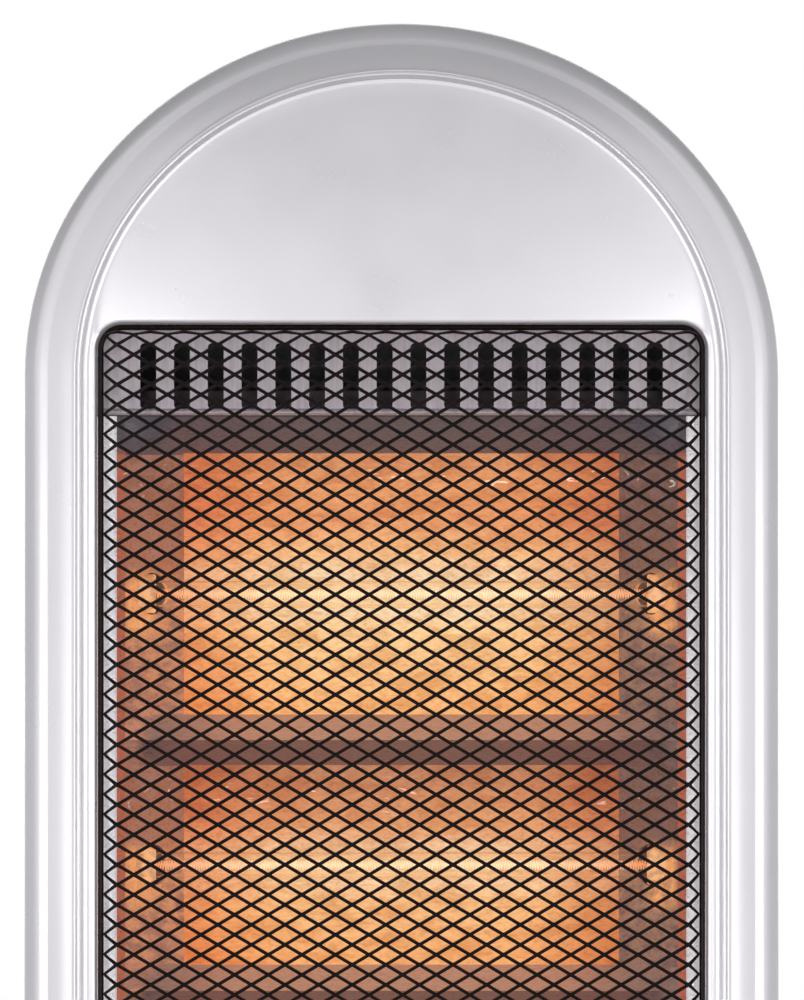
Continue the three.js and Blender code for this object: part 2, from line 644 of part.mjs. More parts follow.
// A flat panel whose edge next to the reflector is folded back. The slots, if any, lie
// between the two slot heights, each from one of the given sides to the next.
function linerPanel(nearZ, farZ, slotHeights, slotSides) {
  const away = Math.sign(farZ - nearZ);
  const [from, to] = [nearZ + away * SEAM, farZ + away * LINER_OVERLAP];
  const across = [-linerHalf, ...slotSides, linerHalf];
  const upward = [from, ...slotHeights, to].sort((a, b) => a - b);
  const polygons = [];
  for (let i = 0; i < across.length - 1; i += 1) {
    for (let j = 0; j < upward.length - 1; j += 1) {
      const isSlot = i % 2 === 1 && j === 1;
      if (!isSlot) polygons.push([`${i} ${j}`, `${i + 1} ${j}`, `${i + 1} ${j + 1}`, `${i} ${j + 1}`]);
    }
  }
  const place = (key, y) => {
    const [i, j] = key.split(' ').map(Number);
    return new THREE.Vector3(across[i], y, upward[j]);
  };
  const panel = sheet(polygons, (key) => place(key, LINER_Y), (key) => place(key, LINER_Y + PANEL_SHEET));
  const fold = box(
    [2 * FLANGE_HALF - 2 * SEAM, PANEL_LIP, PANEL_SHEET],
    [0, LINER_Y + PANEL_LIP / 2, from + (away * PANEL_SHEET) / 2],
  );
  return join(panel, [fold]);
}

function ventPanel() {
  const middles = Array.from({ length: VENT_SLOTS }, (_, k) => (k - (VENT_SLOTS - 1) / 2) * VENT_PITCH);
  const sides = middles.flatMap((x) => [x - VENT_SLOT_WIDTH / 2, x + VENT_SLOT_WIDTH / 2]);
  const slotBottom = REFLECTOR_TOP + SEAM + PANEL_SHEET + VENT_MARGIN;
  return linerPanel(REFLECTOR_TOP, WINDOW_TOP, [slotBottom, slotBottom + VENT_SLOT_HEIGHT], sides);
}

// Heights across the reflector, each with how deep the trough is there, from 0 to 1.
function troughProfile() {
  const shoulder = TROUGH_SHOULDER / TROUGH_DEPTH;
  const floor = (from, to) => Array.from({ length: TROUGH_STEPS + 1 }, (_, k) => {
    const across = (2 * k) / TROUGH_STEPS - 1;
    return [from + ((to - from) * k) / TROUGH_STEPS, 1 - (1 - shoulder) * across ** 2];
  });
  const outerFloor = floor(TROUGH_HALF + RIDGE_SLOPE, TROUGH_END - OUTER_SLOPE);
  const upper = [[TROUGH_HALF, 0], ...outerFloor, [TROUGH_END, 0]];
  const lower = upper.map(([z, depth]) => [-z, depth]).reverse();
  return [...lower, ...floor(RIDGE_SLOPE - TROUGH_HALF, TROUGH_HALF - RIDGE_SLOPE), ...upper];
}

function reflector() {
  const columns = [
    [linerHalf, LINER_Y, 0], [FLANGE_HALF, LINER_Y, 0],
    [END_WALL_TOP, RIDGE_Y, 0], [END_WALL_FOOT, RIDGE_Y, 1],
  ];
  const across = [...columns.map(([x, ...rest]) => [-x, ...rest]), ...columns.reverse()];
  const rows = troughProfile();
  const polygons = [];
  for (let i = 0; i < across.length - 1; i += 1) {
    for (let j = 0; j < rows.length - 1; j += 1) {
      polygons.push([`${i} ${j}`, `${i + 1} ${j}`, `${i + 1} ${j + 1}`, `${i} ${j + 1}`]);
    }
  }
  const place = (key, back) => {
    const [i, j] = key.split(' ').map(Number);
    const [x, y, share] = across[i];
    const [z, depth] = rows[j];
    return new THREE.Vector3(x, y + share * depth * TROUGH_DEPTH + back, MIDDLE_TUBE_Z + z);
  };
  const pressed = sheet(polygons, (key) => place(key, 0), (key) => place(key, PANEL_SHEET));
  const holes = tubeHeights().flatMap((z) => [-1, 1].map((side) => {
    const ends = [side * (END_WALL_FOOT + 1), side * (linerHalf + 1)].sort((a, b) => a - b);
    return rod('x', CAP_RADIUS + RUNNING, ...ends, [TUBE_Y, z], 12);
  }));
  return cut(pressed, holes);
}

// ---- Head: the tubes, from the top one down
function tubeHeights() {
  return [1, 0, -1].map((step) => MIDDLE_TUBE_Z + step * TUBE_PITCH);
}

function quartzTube(z) {
  const half = TUBE_LENGTH / 2;
  const bore = TUBE_RADIUS - TUBE_WALL;
  const profile = closed([[TUBE_RADIUS, -half], [TUBE_RADIUS, half], [bore, half], [bore, -half]]);
  return turned('x', profile, 12).translate(0, TUBE_Y, z);
}

// The cap's socket takes the tube's end; side is -1 for the viewer's left end and 1 for the right.
function endCap(side, z) {
  const face = TUBE_LENGTH / 2 - CAP_SOCKET + SEAM;
  const socket = TUBE_RADIUS + SEAM;
  const profile = [
    [0, face + CAP_SOCKET], [socket, face + CAP_SOCKET], [socket, face], [CAP_RADIUS, face],
    [CAP_RADIUS, face + CAP_LENGTH], [0, face + CAP_LENGTH],
  ];
  const cap = turned('x', profile, 10);
  return (side < 0 ? cap.rotateZ(Math.PI) : cap).translate(0, TUBE_Y, z);
}

function filament(z) {
  const half = TUBE_LENGTH / 2;
  const loopHalf = FILAMENT_LOOP_THICKNESS / 2;
  const profile = [[0, -half], [FILAMENT_RADIUS, -half]];
  for (let k = 1; k <= FILAMENT_LOOPS; k += 1) {
    const x = -half + (TUBE_LENGTH * k) / (FILAMENT_LOOPS + 1);
    profile.push(
      [FILAMENT_RADIUS, x - loopHalf], [FILAMENT_LOOP, x - loopHalf],
      [FILAMENT_LOOP, x + loopHalf], [FILAMENT_RADIUS, x + loopHalf],
    );
  }
  profile.push([FILAMENT_RADIUS, half], [0, half]);
  return turned('x', profile, 6).translate(0, TUBE_Y, z);
}

function lampBracket(side) {
  const capEnd = TUBE_LENGTH / 2 - CAP_SOCKET + SEAM + CAP_LENGTH;
  const x = side * (capEnd + SEAM + BRACKET_SHEET / 2);
  const [front, back] = [LINER_Y + PANEL_SHEET + SEAM, SHIELD_Y - SEAM];
  return box([BRACKET_SHEET, back - front, 2 * TROUGH_END], [x, (front + back) / 2, MIDDLE_TUBE_Z]);
}

function heatShield() {
  const [width, height] = [HEAD_WIDTH - 2 * SHIELD_MARGIN, 2 * (TROUGH_END + SHIELD_REACH)];
  const shape = roundedRectangle(width, height, PILLAR_RADIUS, [0, MIDDLE_TUBE_Z]);
  return slab(shape, SHIELD_Y, SHIELD_Y + SHIELD_SHEET, 2);
}

// A box that is screwed to the back of the heat shield.
function onShield([width, depth, height], x, z) {
  return box([width, depth, height], [x, SHIELD_Y + SHIELD_SHEET + SEAM + depth / 2, z]);
}

// ---- Head: controls
const CONTROL_Y = FACE_Y + CONTROL_RECESS;
const CONTROL_BACK = FACE_Y + CASING_WALL + SEAM + CONTROL_SHEET;

function controlPanel() {
  const middle = [0, CONTROL_Z];
  const face = roundedRectangle(CONTROL_WIDTH, CONTROL_HEIGHT, CONTROL_CORNER, middle);
  const [width, height] = [CONTROL_WIDTH, CONTROL_HEIGHT].map((size) => size + 2 * CONTROL_FLANGE);
  const flange = roundedRectangle(width, height, CONTROL_CORNER, middle);
  const backing = slab(flange, CONTROL_BACK - CONTROL_SHEET, CONTROL_BACK);
  return cut(join(slab(face, CONTROL_Y, CONTROL_BACK), [backing]), [
    rod('y', SPINDLE_RADIUS + RUNNING, FACE_Y - 1, CONTROL_BACK + 1, [KNOB_PLACE, CONTROL_Z]),
    rod('y', BUTTON_RADIUS + RUNNING, FACE_Y - 1, CONTROL_BACK + 1, [BUTTON_PLACE, CONTROL_Z], 20),
  ]);
}

// A round skirt with a straight grip across it and a blind hole for the spindle.
function knob() {
  const back = CONTROL_Y - RUNNING;
  const [slopeWidth, slopeDepth] = KNOB_CHAMFER;
  const front = back - KNOB_SKIRT - slopeDepth;
  const skirt = turned('y', [
    [0, back], [KNOB_RADIUS, back], [KNOB_RADIUS, back - KNOB_SKIRT],
    [KNOB_RADIUS - slopeWidth, front], [0, front],
  ], 28).translate(KNOB_PLACE, 0, CONTROL_Z);
  const shape = roundedRectangle(KNOB_GRIP_WIDTH, 2 * KNOB_RADIUS - slopeWidth, KNOB_GRIP_WIDTH / 2);
  const grip = slab(shape, back - KNOB_HEIGHT, back - 1)
    .rotateY(THREE.MathUtils.degToRad(KNOB_REST)).translate(KNOB_PLACE, 0, CONTROL_Z);
  const middle = [KNOB_PLACE, CONTROL_Z];
  const bore = rod('y', SPINDLE_RADIUS + SEAM, back - KNOB_HEIGHT / 2, back + 1, middle, 12);
  return cut(join(skirt, [grip]), [bore]);
}

const SPINDLE_FRONT = CONTROL_Y - RUNNING - KNOB_HEIGHT / 2 + SEAM;
const SPINDLE_BACK = SPINDLE_FRONT + SPINDLE_LENGTH;

function spindle() {
  return rod('y', SPINDLE_RADIUS, SPINDLE_FRONT, SPINDLE_BACK, [KNOB_PLACE, CONTROL_Z], 12);
}

function selectorSwitch() {
  const front = CONTROL_BACK + SEAM;
  const body = box(SWITCH_SIZE, [KNOB_PLACE, front + SWITCH_SIZE[1] / 2, CONTROL_Z]);
  const middle = [KNOB_PLACE, CONTROL_Z];
  return cut(body, [rod('y', SPINDLE_RADIUS + RUNNING, front - 1, SPINDLE_BACK + SEAM, middle)]);
}

const BUTTON_BACK = CONTROL_BACK + SEAM;

function pushButton() {
  const front = CONTROL_Y - BUTTON_PROUD;
  return turned('y', [
    [0, front], [BUTTON_RADIUS - BUTTON_CHAMFER, front], [BUTTON_RADIUS, front + BUTTON_CHAMFER],
    [BUTTON_RADIUS, BUTTON_BACK], [0, BUTTON_BACK],
  ], 20).translate(BUTTON_PLACE, 0, CONTROL_Z);
}

// Its housing is open in front, so that the button can sink into it.
function buttonSwitch() {
  const front = CONTROL_BACK + SEAM;
  const body = box(BUTTON_SWITCH_SIZE, [BUTTON_PLACE, front + BUTTON_SWITCH_SIZE[1] / 2, CONTROL_Z]);
  const well = BUTTON_BACK + BUTTON_TRAVEL + RUNNING;
  return cut(body, [rod('y', BUTTON_RADIUS + RUNNING, front - 1, well, [BUTTON_PLACE, CONTROL_Z])]);
}

// ---- Neck and swing drive
function neck() {
  const foot = NECK_BOTTOM + NECK_FOOT;
  return turned('z', closed([
    [WIRE_BORE, TURNTABLE_TOP + SEAM], [SPIGOT_RADIUS, TURNTABLE_TOP + SEAM], [SPIGOT_RADIUS, NECK_BOTTOM],
    [NECK_RADIUS + NECK_FLARE, NECK_BOTTOM], [NECK_RADIUS + NECK_FLARE, foot],
    [NECK_RADIUS, foot + NECK_TAPER], [NECK_RADIUS, NECK_BOTTOM + NECK_HEIGHT],
    [WIRE_BORE, NECK_BOTTOM + NECK_HEIGHT],
  ]), 28);
}

function bearingWasher() {
  const [inner, outer] = [SPIGOT_RADIUS + RUNNING, NECK_RADIUS];
  const top = WASHER_BOTTOM + WASHER_THICKNESS;
  return turned('z', closed([
    [inner, WASHER_BOTTOM], [outer, WASHER_BOTTOM], [outer, top], [inner, top],
  ]), 24);
}

function turntable() {
  const shape = circle(TURNTABLE_RADIUS);
  const width = 2 * (PIN_RADIUS + PIN_SIDE_STRAY + RUNNING);
  const length = 2 * (PIN_RADIUS + PIN_STRAY + RUNNING);
  const eye = roundedRectangle(width, length, width / 2, [0, DRIVE_ARM], THREE.Path);
  shape.holes = [circle(WIRE_BORE, [0, 0], THREE.Path), eye];
  return layer(shape, TURNTABLE_BOTTOM, TURNTABLE_TOP, 8);
}

function motor() {
  const body = rod('z', MOTOR_RADIUS, FLOOR_INSIDE, FLOOR_INSIDE + MOTOR_HEIGHT, CRANK_AXIS, 28);
  return join(body, [rod('z', MOTOR_BOSS_RADIUS, FLOOR_INSIDE + 1, MOTOR_TOP, CRANK_AXIS, 14)]);
}

// The crank carries its shaft below and its pin above.
function crank() {
  const shape = circle(CRANK_THROW + 2 * PIN_RADIUS, CRANK_AXIS);
  const shaft = rod('z', SHAFT_RADIUS, MOTOR_TOP + SEAM, CRANK_BOTTOM + 1, CRANK_AXIS, 12);
  const pin = rod('z', PIN_RADIUS, CRANK_TOP - 1, LINK_TOP + 1, CRANK_PIN, 12);
  return join(layer(shape, CRANK_BOTTOM, CRANK_TOP, 8), [shaft, pin]);
}

function link() {
  const middle = [(DRIVE_PIN[0] + CRANK_PIN[0]) / 2, DRIVE_PIN[1]];
  const shape = roundedRectangle(LINK_LENGTH + LINK_WIDTH, LINK_WIDTH, LINK_WIDTH / 2, middle);
  shape.holes = [circle(PIN_RADIUS + SEAM, CRANK_PIN, THREE.Path)];
  const pin = rod('z', PIN_RADIUS, LINK_TOP - 1, TURNTABLE_TOP - SEAM, DRIVE_PIN, 12);
  return join(layer(shape, LINK_BOTTOM, LINK_TOP, 4), [pin]);
}

// ---- Base. The cover's dome runs from the rolled rim up to the collar.
function domeLine(inset) {
  const radius = BASE_RADIUS - inset;
  const top = BASE_HEIGHT - inset;
  const rimTop = FOOT_HEIGHT + RIM_HEIGHT;
  const rollTop = rimTop + RIM_ROLL + RIM_RISE - inset;
  const [slopeWidth, slopeHeight] = COLLAR_CHAMFER;
  const shoulder = [COLLAR_RADIUS + slopeWidth, top - slopeHeight];
  const path = new THREE.Path();
  path.moveTo(radius, rimTop);
  path.quadraticCurveTo(radius, rimTop + RIM_ROLL - inset / 2, radius - RIM_ROLL, rollTop);
  path.quadraticCurveTo((radius + COLLAR_RADIUS) / 2, (rimTop + 2 * top) / 3, ...shoulder);
  path.lineTo(COLLAR_RADIUS, top);
  return path.getPoints(3).map((point) => [point.x, point.y]);
}

function baseCover() {
  const bore = SPIGOT_RADIUS + RUNNING;
  const bossBottom = BASE_HEIGHT - BOSS_DEPTH;
  const profile = [
    [BASE_RADIUS, FOOT_HEIGHT], ...domeLine(0), [bore, BASE_HEIGHT], [bore, bossBottom],
    [BOSS_RADIUS, bossBottom], [BOSS_RADIUS, BASE_HEIGHT - BASE_WALL],
    ...domeLine(BASE_WALL).reverse(), [BASE_RADIUS - BASE_WALL, FOOT_HEIGHT],
  ];
  const way = rod('y', GLAND_RADIUS + SEAM, glandFront() - 1, BASE_RADIUS + 1, [0, glandHeight()], 14);
  return cut(turned('z', closed(profile), BASE_SIDES), [way]);
}

function glandHeight() {
  return PLATE_TOP + RUNNING + GLAND_RADIUS;
}

function glandFront() {
  return BASE_RADIUS - GLAND_LENGTH;
}

function cordGland() {
  const [front, back] = [glandFront(), BASE_RADIUS - 1];
  return turned('y', closed([
    [GLAND_BORE, front], [GLAND_RADIUS, front], [GLAND_RADIUS, back], [GLAND_BORE, back],
  ]), 14).translate(0, 0, glandHeight());
}

function basePlate() {
  const insideFlats = (BASE_RADIUS - BASE_WALL) * Math.cos(Math.PI / BASE_SIDES);
  const shape = circle(insideFlats - SEAM);
  shape.holes = [circle(PLUNGER_RADIUS + RUNNING, TIP_SWITCH_PLACE, THREE.Path)];
  return layer(shape, PLATE_BOTTOM, PLATE_TOP, 16);
}

function foot(k) {
  const angle = (Math.PI * (2 * k + 1)) / FOOT_COUNT;
  return turned('z', [
    [0, 0], [FOOT_RADIUS - 1, 0], [FOOT_RADIUS, 1], [FOOT_RADIUS, FOOT_HEIGHT], [0, FOOT_HEIGHT],
  ], 12).translate(FOOT_CIRCLE * Math.cos(angle), FOOT_CIRCLE * Math.sin(angle), 0);
}

// A ring with a way for the cord at the back.
function counterweight() {
  const half = THREE.MathUtils.degToRad(WEIGHT_OPENING / 2);
  const [from, to] = [quarter + half, quarter - half + 2 * Math.PI];
  const shape = new THREE.Shape();
  shape.absarc(0, 0, WEIGHT_OUTER, from, to, false);
  shape.absarc(0, 0, WEIGHT_INNER, to, from, true);
  shape.closePath();
  return layer(shape, FLOOR_INSIDE, FLOOR_INSIDE + WEIGHT_THICKNESS, 12);
}

function tipSwitch() {
  const [width, depth, height] = TIP_SWITCH_SIZE;
  const [x, y] = TIP_SWITCH_PLACE;
  const body = box([width, depth, height], [x, y, FLOOR_INSIDE + height / 2]);
  const top = PLUNGER_LENGTH + PLUNGER_REST_GAP;
  return cut(body, [rod('z', PLUNGER_RADIUS + RUNNING, FLOOR_INSIDE - 1, top, [x, y], 12)]);
}

function plunger() {
  const stem = rod('z', PLUNGER_RADIUS, PLUNGER_PAD_HEIGHT / 2, PLUNGER_LENGTH, TIP_SWITCH_PLACE, 12);
  return join(rod('z', PLUNGER_PAD_RADIUS, 0, PLUNGER_PAD_HEIGHT, TIP_SWITCH_PLACE, 14), [stem]);
}

// ---- The assembly
const heater = new THREE.Group();

function add(parent, name, geometry, material) {
  const mesh = new THREE.Mesh(solid(geometry), material);
  mesh.name = name;
  parent.add(mesh);
}

const base = new THREE.Group();
add(base, 'base_cover', baseCover(), silver);
add(base, 'base_plate', basePlate(), darkPlastic);
add(base, 'counterweight', counterweight(), castIron);
add(base, 'oscillation_motor', motor(), motorSteel);
add(base, 'bearing_washer', bearingWasher(), paleNylon);
add(base, 'tip_switch', tipSwitch(), darkPlastic);
add(base, 'cord_gland', cordGland(), darkPlastic);
for (let k = 0; k < FOOT_COUNT; k += 1) add(base, `foot_${k + 1}`, foot(k), rubber);

const drive = new THREE.Group();
add(drive, 'crank', crank(), motorSteel);
add(drive, 'link', link(), motorSteel);
add(drive, 'tip_plunger', plunger(), paleNylon);

const head = new THREE.Group();
add(head, 'turntable', turntable(), zincSheet);
add(head, 'neck', neck(), darkPlastic);
add(head, 'front_casing', frontCasing(), silver);
add(head, 'rear_casing', rearCasing(), silver);
add(head, 'guard', guard(), guardBlack);
add(head, 'guard_edge', guardEdge(), guardBlack);
add(head, 'guard_frame', guardFrame(), guardBlack);
add(head, 'vent_panel', ventPanel(), satinSheet);
add(head, 'lower_panel', linerPanel(REFLECTOR_BOTTOM, WINDOW_BOTTOM, [], []), satinSheet);
add(head, 'reflector', reflector(), brightSheet);
tubeHeights().forEach((z, k) => {
  add(head, `quartz_tube_${k + 1}`, quartzTube(z), quartz);
  add(head, `filament_${k + 1}`, filament(z), glowing);
  add(head, `end_cap_left_${k + 1}`, endCap(-1, z), ceramic);
  add(head, `end_cap_right_${k + 1}`, endCap(1, z), ceramic);
});
add(head, 'lamp_bracket_left', lampBracket(-1), zincSheet);
add(head, 'lamp_bracket_right', lampBracket(1), zincSheet);
add(head, 'heat_shield', heatShield(), zincSheet);
add(head, 'thermal_cutout', onShield(CUTOUT_SIZE, 0, REFLECTOR_TOP - CUTOUT_SIZE[2]), darkPlastic);
add(head, 'terminal_block', onShield(TERMINAL_SIZE, 0, REFLECTOR_BOTTOM + TERMINAL_SIZE[2]), paleNylon);

const controls = new THREE.Group();
add(controls, 'control_panel', controlPanel(), darkPlastic);
add(controls, 'selector_switch', selectorSwitch(), darkPlastic);
add(controls, 'selector_spindle', spindle(), motorSteel);
add(controls, 'selector_knob', knob(), darkPlastic);
add(controls, 'swing_switch', buttonSwitch(), darkPlastic);
add(controls, 'swing_button', pushButton(), darkPlastic);
head.add(controls);

heater.add(base, drive, head);

export default heater;
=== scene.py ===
import json
import math

import bmesh
import bpy
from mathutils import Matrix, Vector


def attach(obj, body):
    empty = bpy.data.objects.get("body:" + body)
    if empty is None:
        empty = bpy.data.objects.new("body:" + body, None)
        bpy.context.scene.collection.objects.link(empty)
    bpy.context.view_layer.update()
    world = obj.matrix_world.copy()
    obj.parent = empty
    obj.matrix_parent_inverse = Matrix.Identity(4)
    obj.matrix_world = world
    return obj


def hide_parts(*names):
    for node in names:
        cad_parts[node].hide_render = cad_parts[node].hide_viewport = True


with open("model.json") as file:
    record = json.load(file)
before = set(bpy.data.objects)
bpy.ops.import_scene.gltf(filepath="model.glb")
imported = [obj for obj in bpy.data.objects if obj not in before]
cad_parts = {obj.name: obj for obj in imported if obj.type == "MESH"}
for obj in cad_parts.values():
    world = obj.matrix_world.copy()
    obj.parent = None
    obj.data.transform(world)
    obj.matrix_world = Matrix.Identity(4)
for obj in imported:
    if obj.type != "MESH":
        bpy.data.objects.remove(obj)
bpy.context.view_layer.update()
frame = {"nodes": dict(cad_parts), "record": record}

MM = 0.001

# ---- Sizes in millimetres. Most are those of the part's source.
BASE_RADIUS, BASE_HEIGHT, BASE_WALL = 145, 50, 3
FOOT_HEIGHT, RIM_HEIGHT = 4, 10
BOSS_INNER, BOSS_OUTER, BOSS_BOTTOM = 26.5, 31, 43.4
COLLAR_RADIUS = 50
HEAD_BOTTOM, HEAD_TOP, HEAD_HALF, ARCH_RISE, FOOT_CORNER = 66, 610, 135, 126.1, 32
ARCH_CENTRE = HEAD_TOP - ARCH_RISE
FACE_Y, REAR_Y, WALL = -50, 48, 2.5
EMBOSS_INSET, EMBOSS_TOP = 20.2, 19.0
FRONT_ROLL, BEVEL_Y = (8, 9), -45.4
REAR_ROLL = 20
WINDOW_HALF, WINDOW_TOP, WINDOW_BOTTOM, WINDOW_CORNER = 108.9, 502.3, 138.0, 9
WINDOW_MIDDLE = (WINDOW_TOP + WINDOW_BOTTOM) / 2
LINER_Y, RIDGE_Y, TUBE_Y = -40, -37, -24
SHEET = 1.2
MIDDLE_TUBE_Z, TUBE_PITCH = 308.4, 97.2
TUBES = [MIDDLE_TUBE_Z + k * TUBE_PITCH for k in (1, 0, -1)]
TROUGH_HALF, TROUGH_END = 44.9, 160.8
CAP_RADIUS = 7
FLANGE_HALF, END_WALL_TOP, END_WALL_FOOT = 102, 99.2, 78
REFLECTOR_TOP = MIDDLE_TUBE_Z + TROUGH_END
# Where the shade under each trough's upper slope begins: in the lowest one, then the steps up from it
LOWEST_SLOPE, SLOPE_STEPS = 246.7, (97.2, 111.7)
GRIP, GRIP_Z = (112, 30, 14.9), 536
WIRE_BORE = 9
CONTROL_Z, CONTROL_Y, CONTROL_SIZE, CONTROL_CORNER = 110, -49.4, (150, 36), 8
KNOB_X, KNOB_RADIUS, KNOB_BACK, KNOB_HEIGHT, KNOB_REST = -36, 15, -49.9, 15, 67.5
BUTTON_X, BUTTON_RADIUS = 42, 8
QUARTER = math.pi / 2


# ---- Materials
def srgb(*channels):
    """A colour given as 0 to 255, as the linear values that a shader takes."""
    values = [c / 255 for c in channels]
    return [v / 12.92 if v <= 0.04045 else ((v + 0.055) / 1.055) ** 2.4 for v in values] + [1]


class Material:
    """A node material: a Principled shader, with helpers that add textures in object space."""

    def __init__(self, name, metallic=0.0, roughness=0.5, **sockets):
        self.data = bpy.data.materials.new(name)
        self.data.use_nodes = True
        self.nodes, self.links = self.data.node_tree.nodes, self.data.node_tree.links
        self.shader = self.nodes["Principled BSDF"]
        self.shader.inputs["Metallic"].default_value = metallic
        self.shader.inputs["Roughness"].default_value = roughness
        for socket, value in sockets.items():
            self.shader.inputs[socket.replace("_", " ")].default_value = value
        self.place = self.node("ShaderNodeTexCoord").outputs["Object"]

    def node(self, kind, **settings):
        node = self.nodes.new(kind)
        for key, value in settings.items():
            setattr(node, key, value)
        return node

    def link(self, source, target):
        self.links.new(source, target)

    def math(self, operation, a, b=None):
        node = self.node("ShaderNodeMath", operation=operation)
        for k, value in enumerate([a, b]):
            if value is None:
                continue
            if isinstance(value, (int, float)):
                node.inputs[k].default_value = value
            else:
                self.link(value, node.inputs[k])
        return node.outputs[0]

    def stretched(self, scale):
        node = self.node("ShaderNodeMapping")
        node.inputs["Scale"].default_value = scale
        self.link(self.place, node.inputs["Vector"])
        return node.outputs["Vector"]

    def noise(self, scale, detail=3, stretch=(1, 1, 1), distortion=0):
        """Noise with so many cells to the metre."""
        node = self.node("ShaderNodeTexNoise")
        node.inputs["Scale"].default_value = scale
        node.inputs["Detail"].default_value = detail
        node.inputs["Distortion"].default_value = distortion
        self.link(self.stretched(stretch), node.inputs["Vector"])
        return node.outputs["Fac"]

    def cells(self, scale):
        node = self.node("ShaderNodeTexVoronoi")
        node.inputs["Scale"].default_value = scale
        self.link(self.place, node.inputs["Vector"])
        return node.outputs["Distance"]

    def ramp(self, factor, stops):
        node = self.node("ShaderNodeValToRGB")
        ramp = node.color_ramp
        while len(ramp.elements) < len(stops):
            ramp.elements.new(0.5)
        for element, (position, color) in zip(ramp.elements, stops):
            element.position = position
            element.color = color
        self.link(factor, node.inputs["Fac"])
        return node.outputs["Color"]

    def span(self, value, low, high, to_low=0.0, to_high=1.0):
        node = self.node("ShaderNodeMapRange")
        for socket, number in zip(("From Min", "From Max", "To Min", "To Max"), (low, high, to_low, to_high)):
            node.inputs[socket].default_value = number
        self.link(value, node.inputs["Value"])
        return node.outputs["Result"]

    def mix(self, factor, a, b, blend="MIX"):
        node = self.node("ShaderNodeMix", data_type="RGBA", blend_type=blend)
        inputs = {s.identifier: s for s in node.inputs}
        for key, value in (("Factor_Float", factor), ("A_Color", a), ("B_Color", b)):
            if isinstance(value, (int, float, list)):
                inputs[key].default_value = value
            else:
                self.link(value, inputs[key])
        return next(s for s in node.outputs if s.identifier == "Result_Color")

    def split(self, vector):
        node = self.node("ShaderNodeSeparateXYZ")
        self.link(vector, node.inputs[0])
        return node.outputs

    def axes(self):
        return self.split(self.place)

    def lean(self):
        """The surface's own direction in object space."""
        return self.split(self.node("ShaderNodeTexCoord").outputs["Normal"])

    def color(self, source):
        self.link(source, self.shader.inputs["Base Color"])

    def rough(self, factor, low, high):
        self.link(self.span(factor, 0.3, 0.7, low, high), self.shader.inputs["Roughness"])

    def bump(self, height, distance, strength=1.0):
        node = self.node("ShaderNodeBump")
        node.inputs["Strength"].default_value = strength
        node.inputs["Distance"].default_value = distance
        self.link(height, node.inputs["Height"])
        normal = self.shader.inputs["Normal"]
        if normal.is_linked:
            self.link(normal.links[0].from_socket, node.inputs["Normal"])
        self.link(node.outputs["Normal"], normal)


def painted(name, dark, light, metallic, roughness, grain, **sockets):
    """A finish whose colour and roughness drift a little, with a fine grain."""
    m = Material(name, metallic=metallic, roughness=roughness, **sockets)
    drift = m.noise(14, detail=4)
    m.color(m.ramp(drift, [(0.3, dark), (0.7, light)]))
    m.rough(m.noise(60, detail=3), roughness - 0.03, roughness + 0.04)
    m.bump(m.noise(grain[0], detail=2), grain[1])
    return m


def silver_paint():
    m = Material("silver_paint", metallic=0.5, roughness=0.3, Coat_Weight=0.1, Coat_Roughness=0.2)
    flake = m.noise(2600, detail=1)
    drift = m.noise(9, detail=3)
    tone = m.ramp(drift, [(0.3, srgb(207, 205, 209)), (0.7, srgb(213, 211, 215))])
    sparkle = m.ramp(flake, [(0.35, [0.97, 0.97, 0.97, 1]), (0.7, [1, 1, 1, 1])])
    m.color(m.mix(1.0, tone, sparkle, "MULTIPLY"))
    m.rough(m.noise(40, detail=3), 0.27, 0.32)
    m.bump(flake, 0.00002, 0.3)
    m.bump(m.noise(180, detail=2), 0.00003, 0.2)
    return m


def black_enamel():
    m = Material("black_enamel", metallic=0.0, roughness=0.25, Specular_IOR_Level=0.1)
    enamel = m.ramp(m.noise(120, detail=4), [(0.3, srgb(12, 6, 7)), (0.75, srgb(24, 13, 14))])
    # Painted highlight: the strands' upward-facing faces are painted lighter, where light from above would catch
    # them.
    m.color(m.mix(m.span(m.lean()[2], 0.75, 0.95, 0.0, 0.5), enamel, srgb(120, 96, 82)))
    m.rough(m.noise(300, detail=3), 0.2, 0.34)
    m.bump(m.noise(900, detail=3), 0.00003)
    return m


def shade(*channels):
    """A multiplier given in linear parts."""
    return list(channels) + [1]


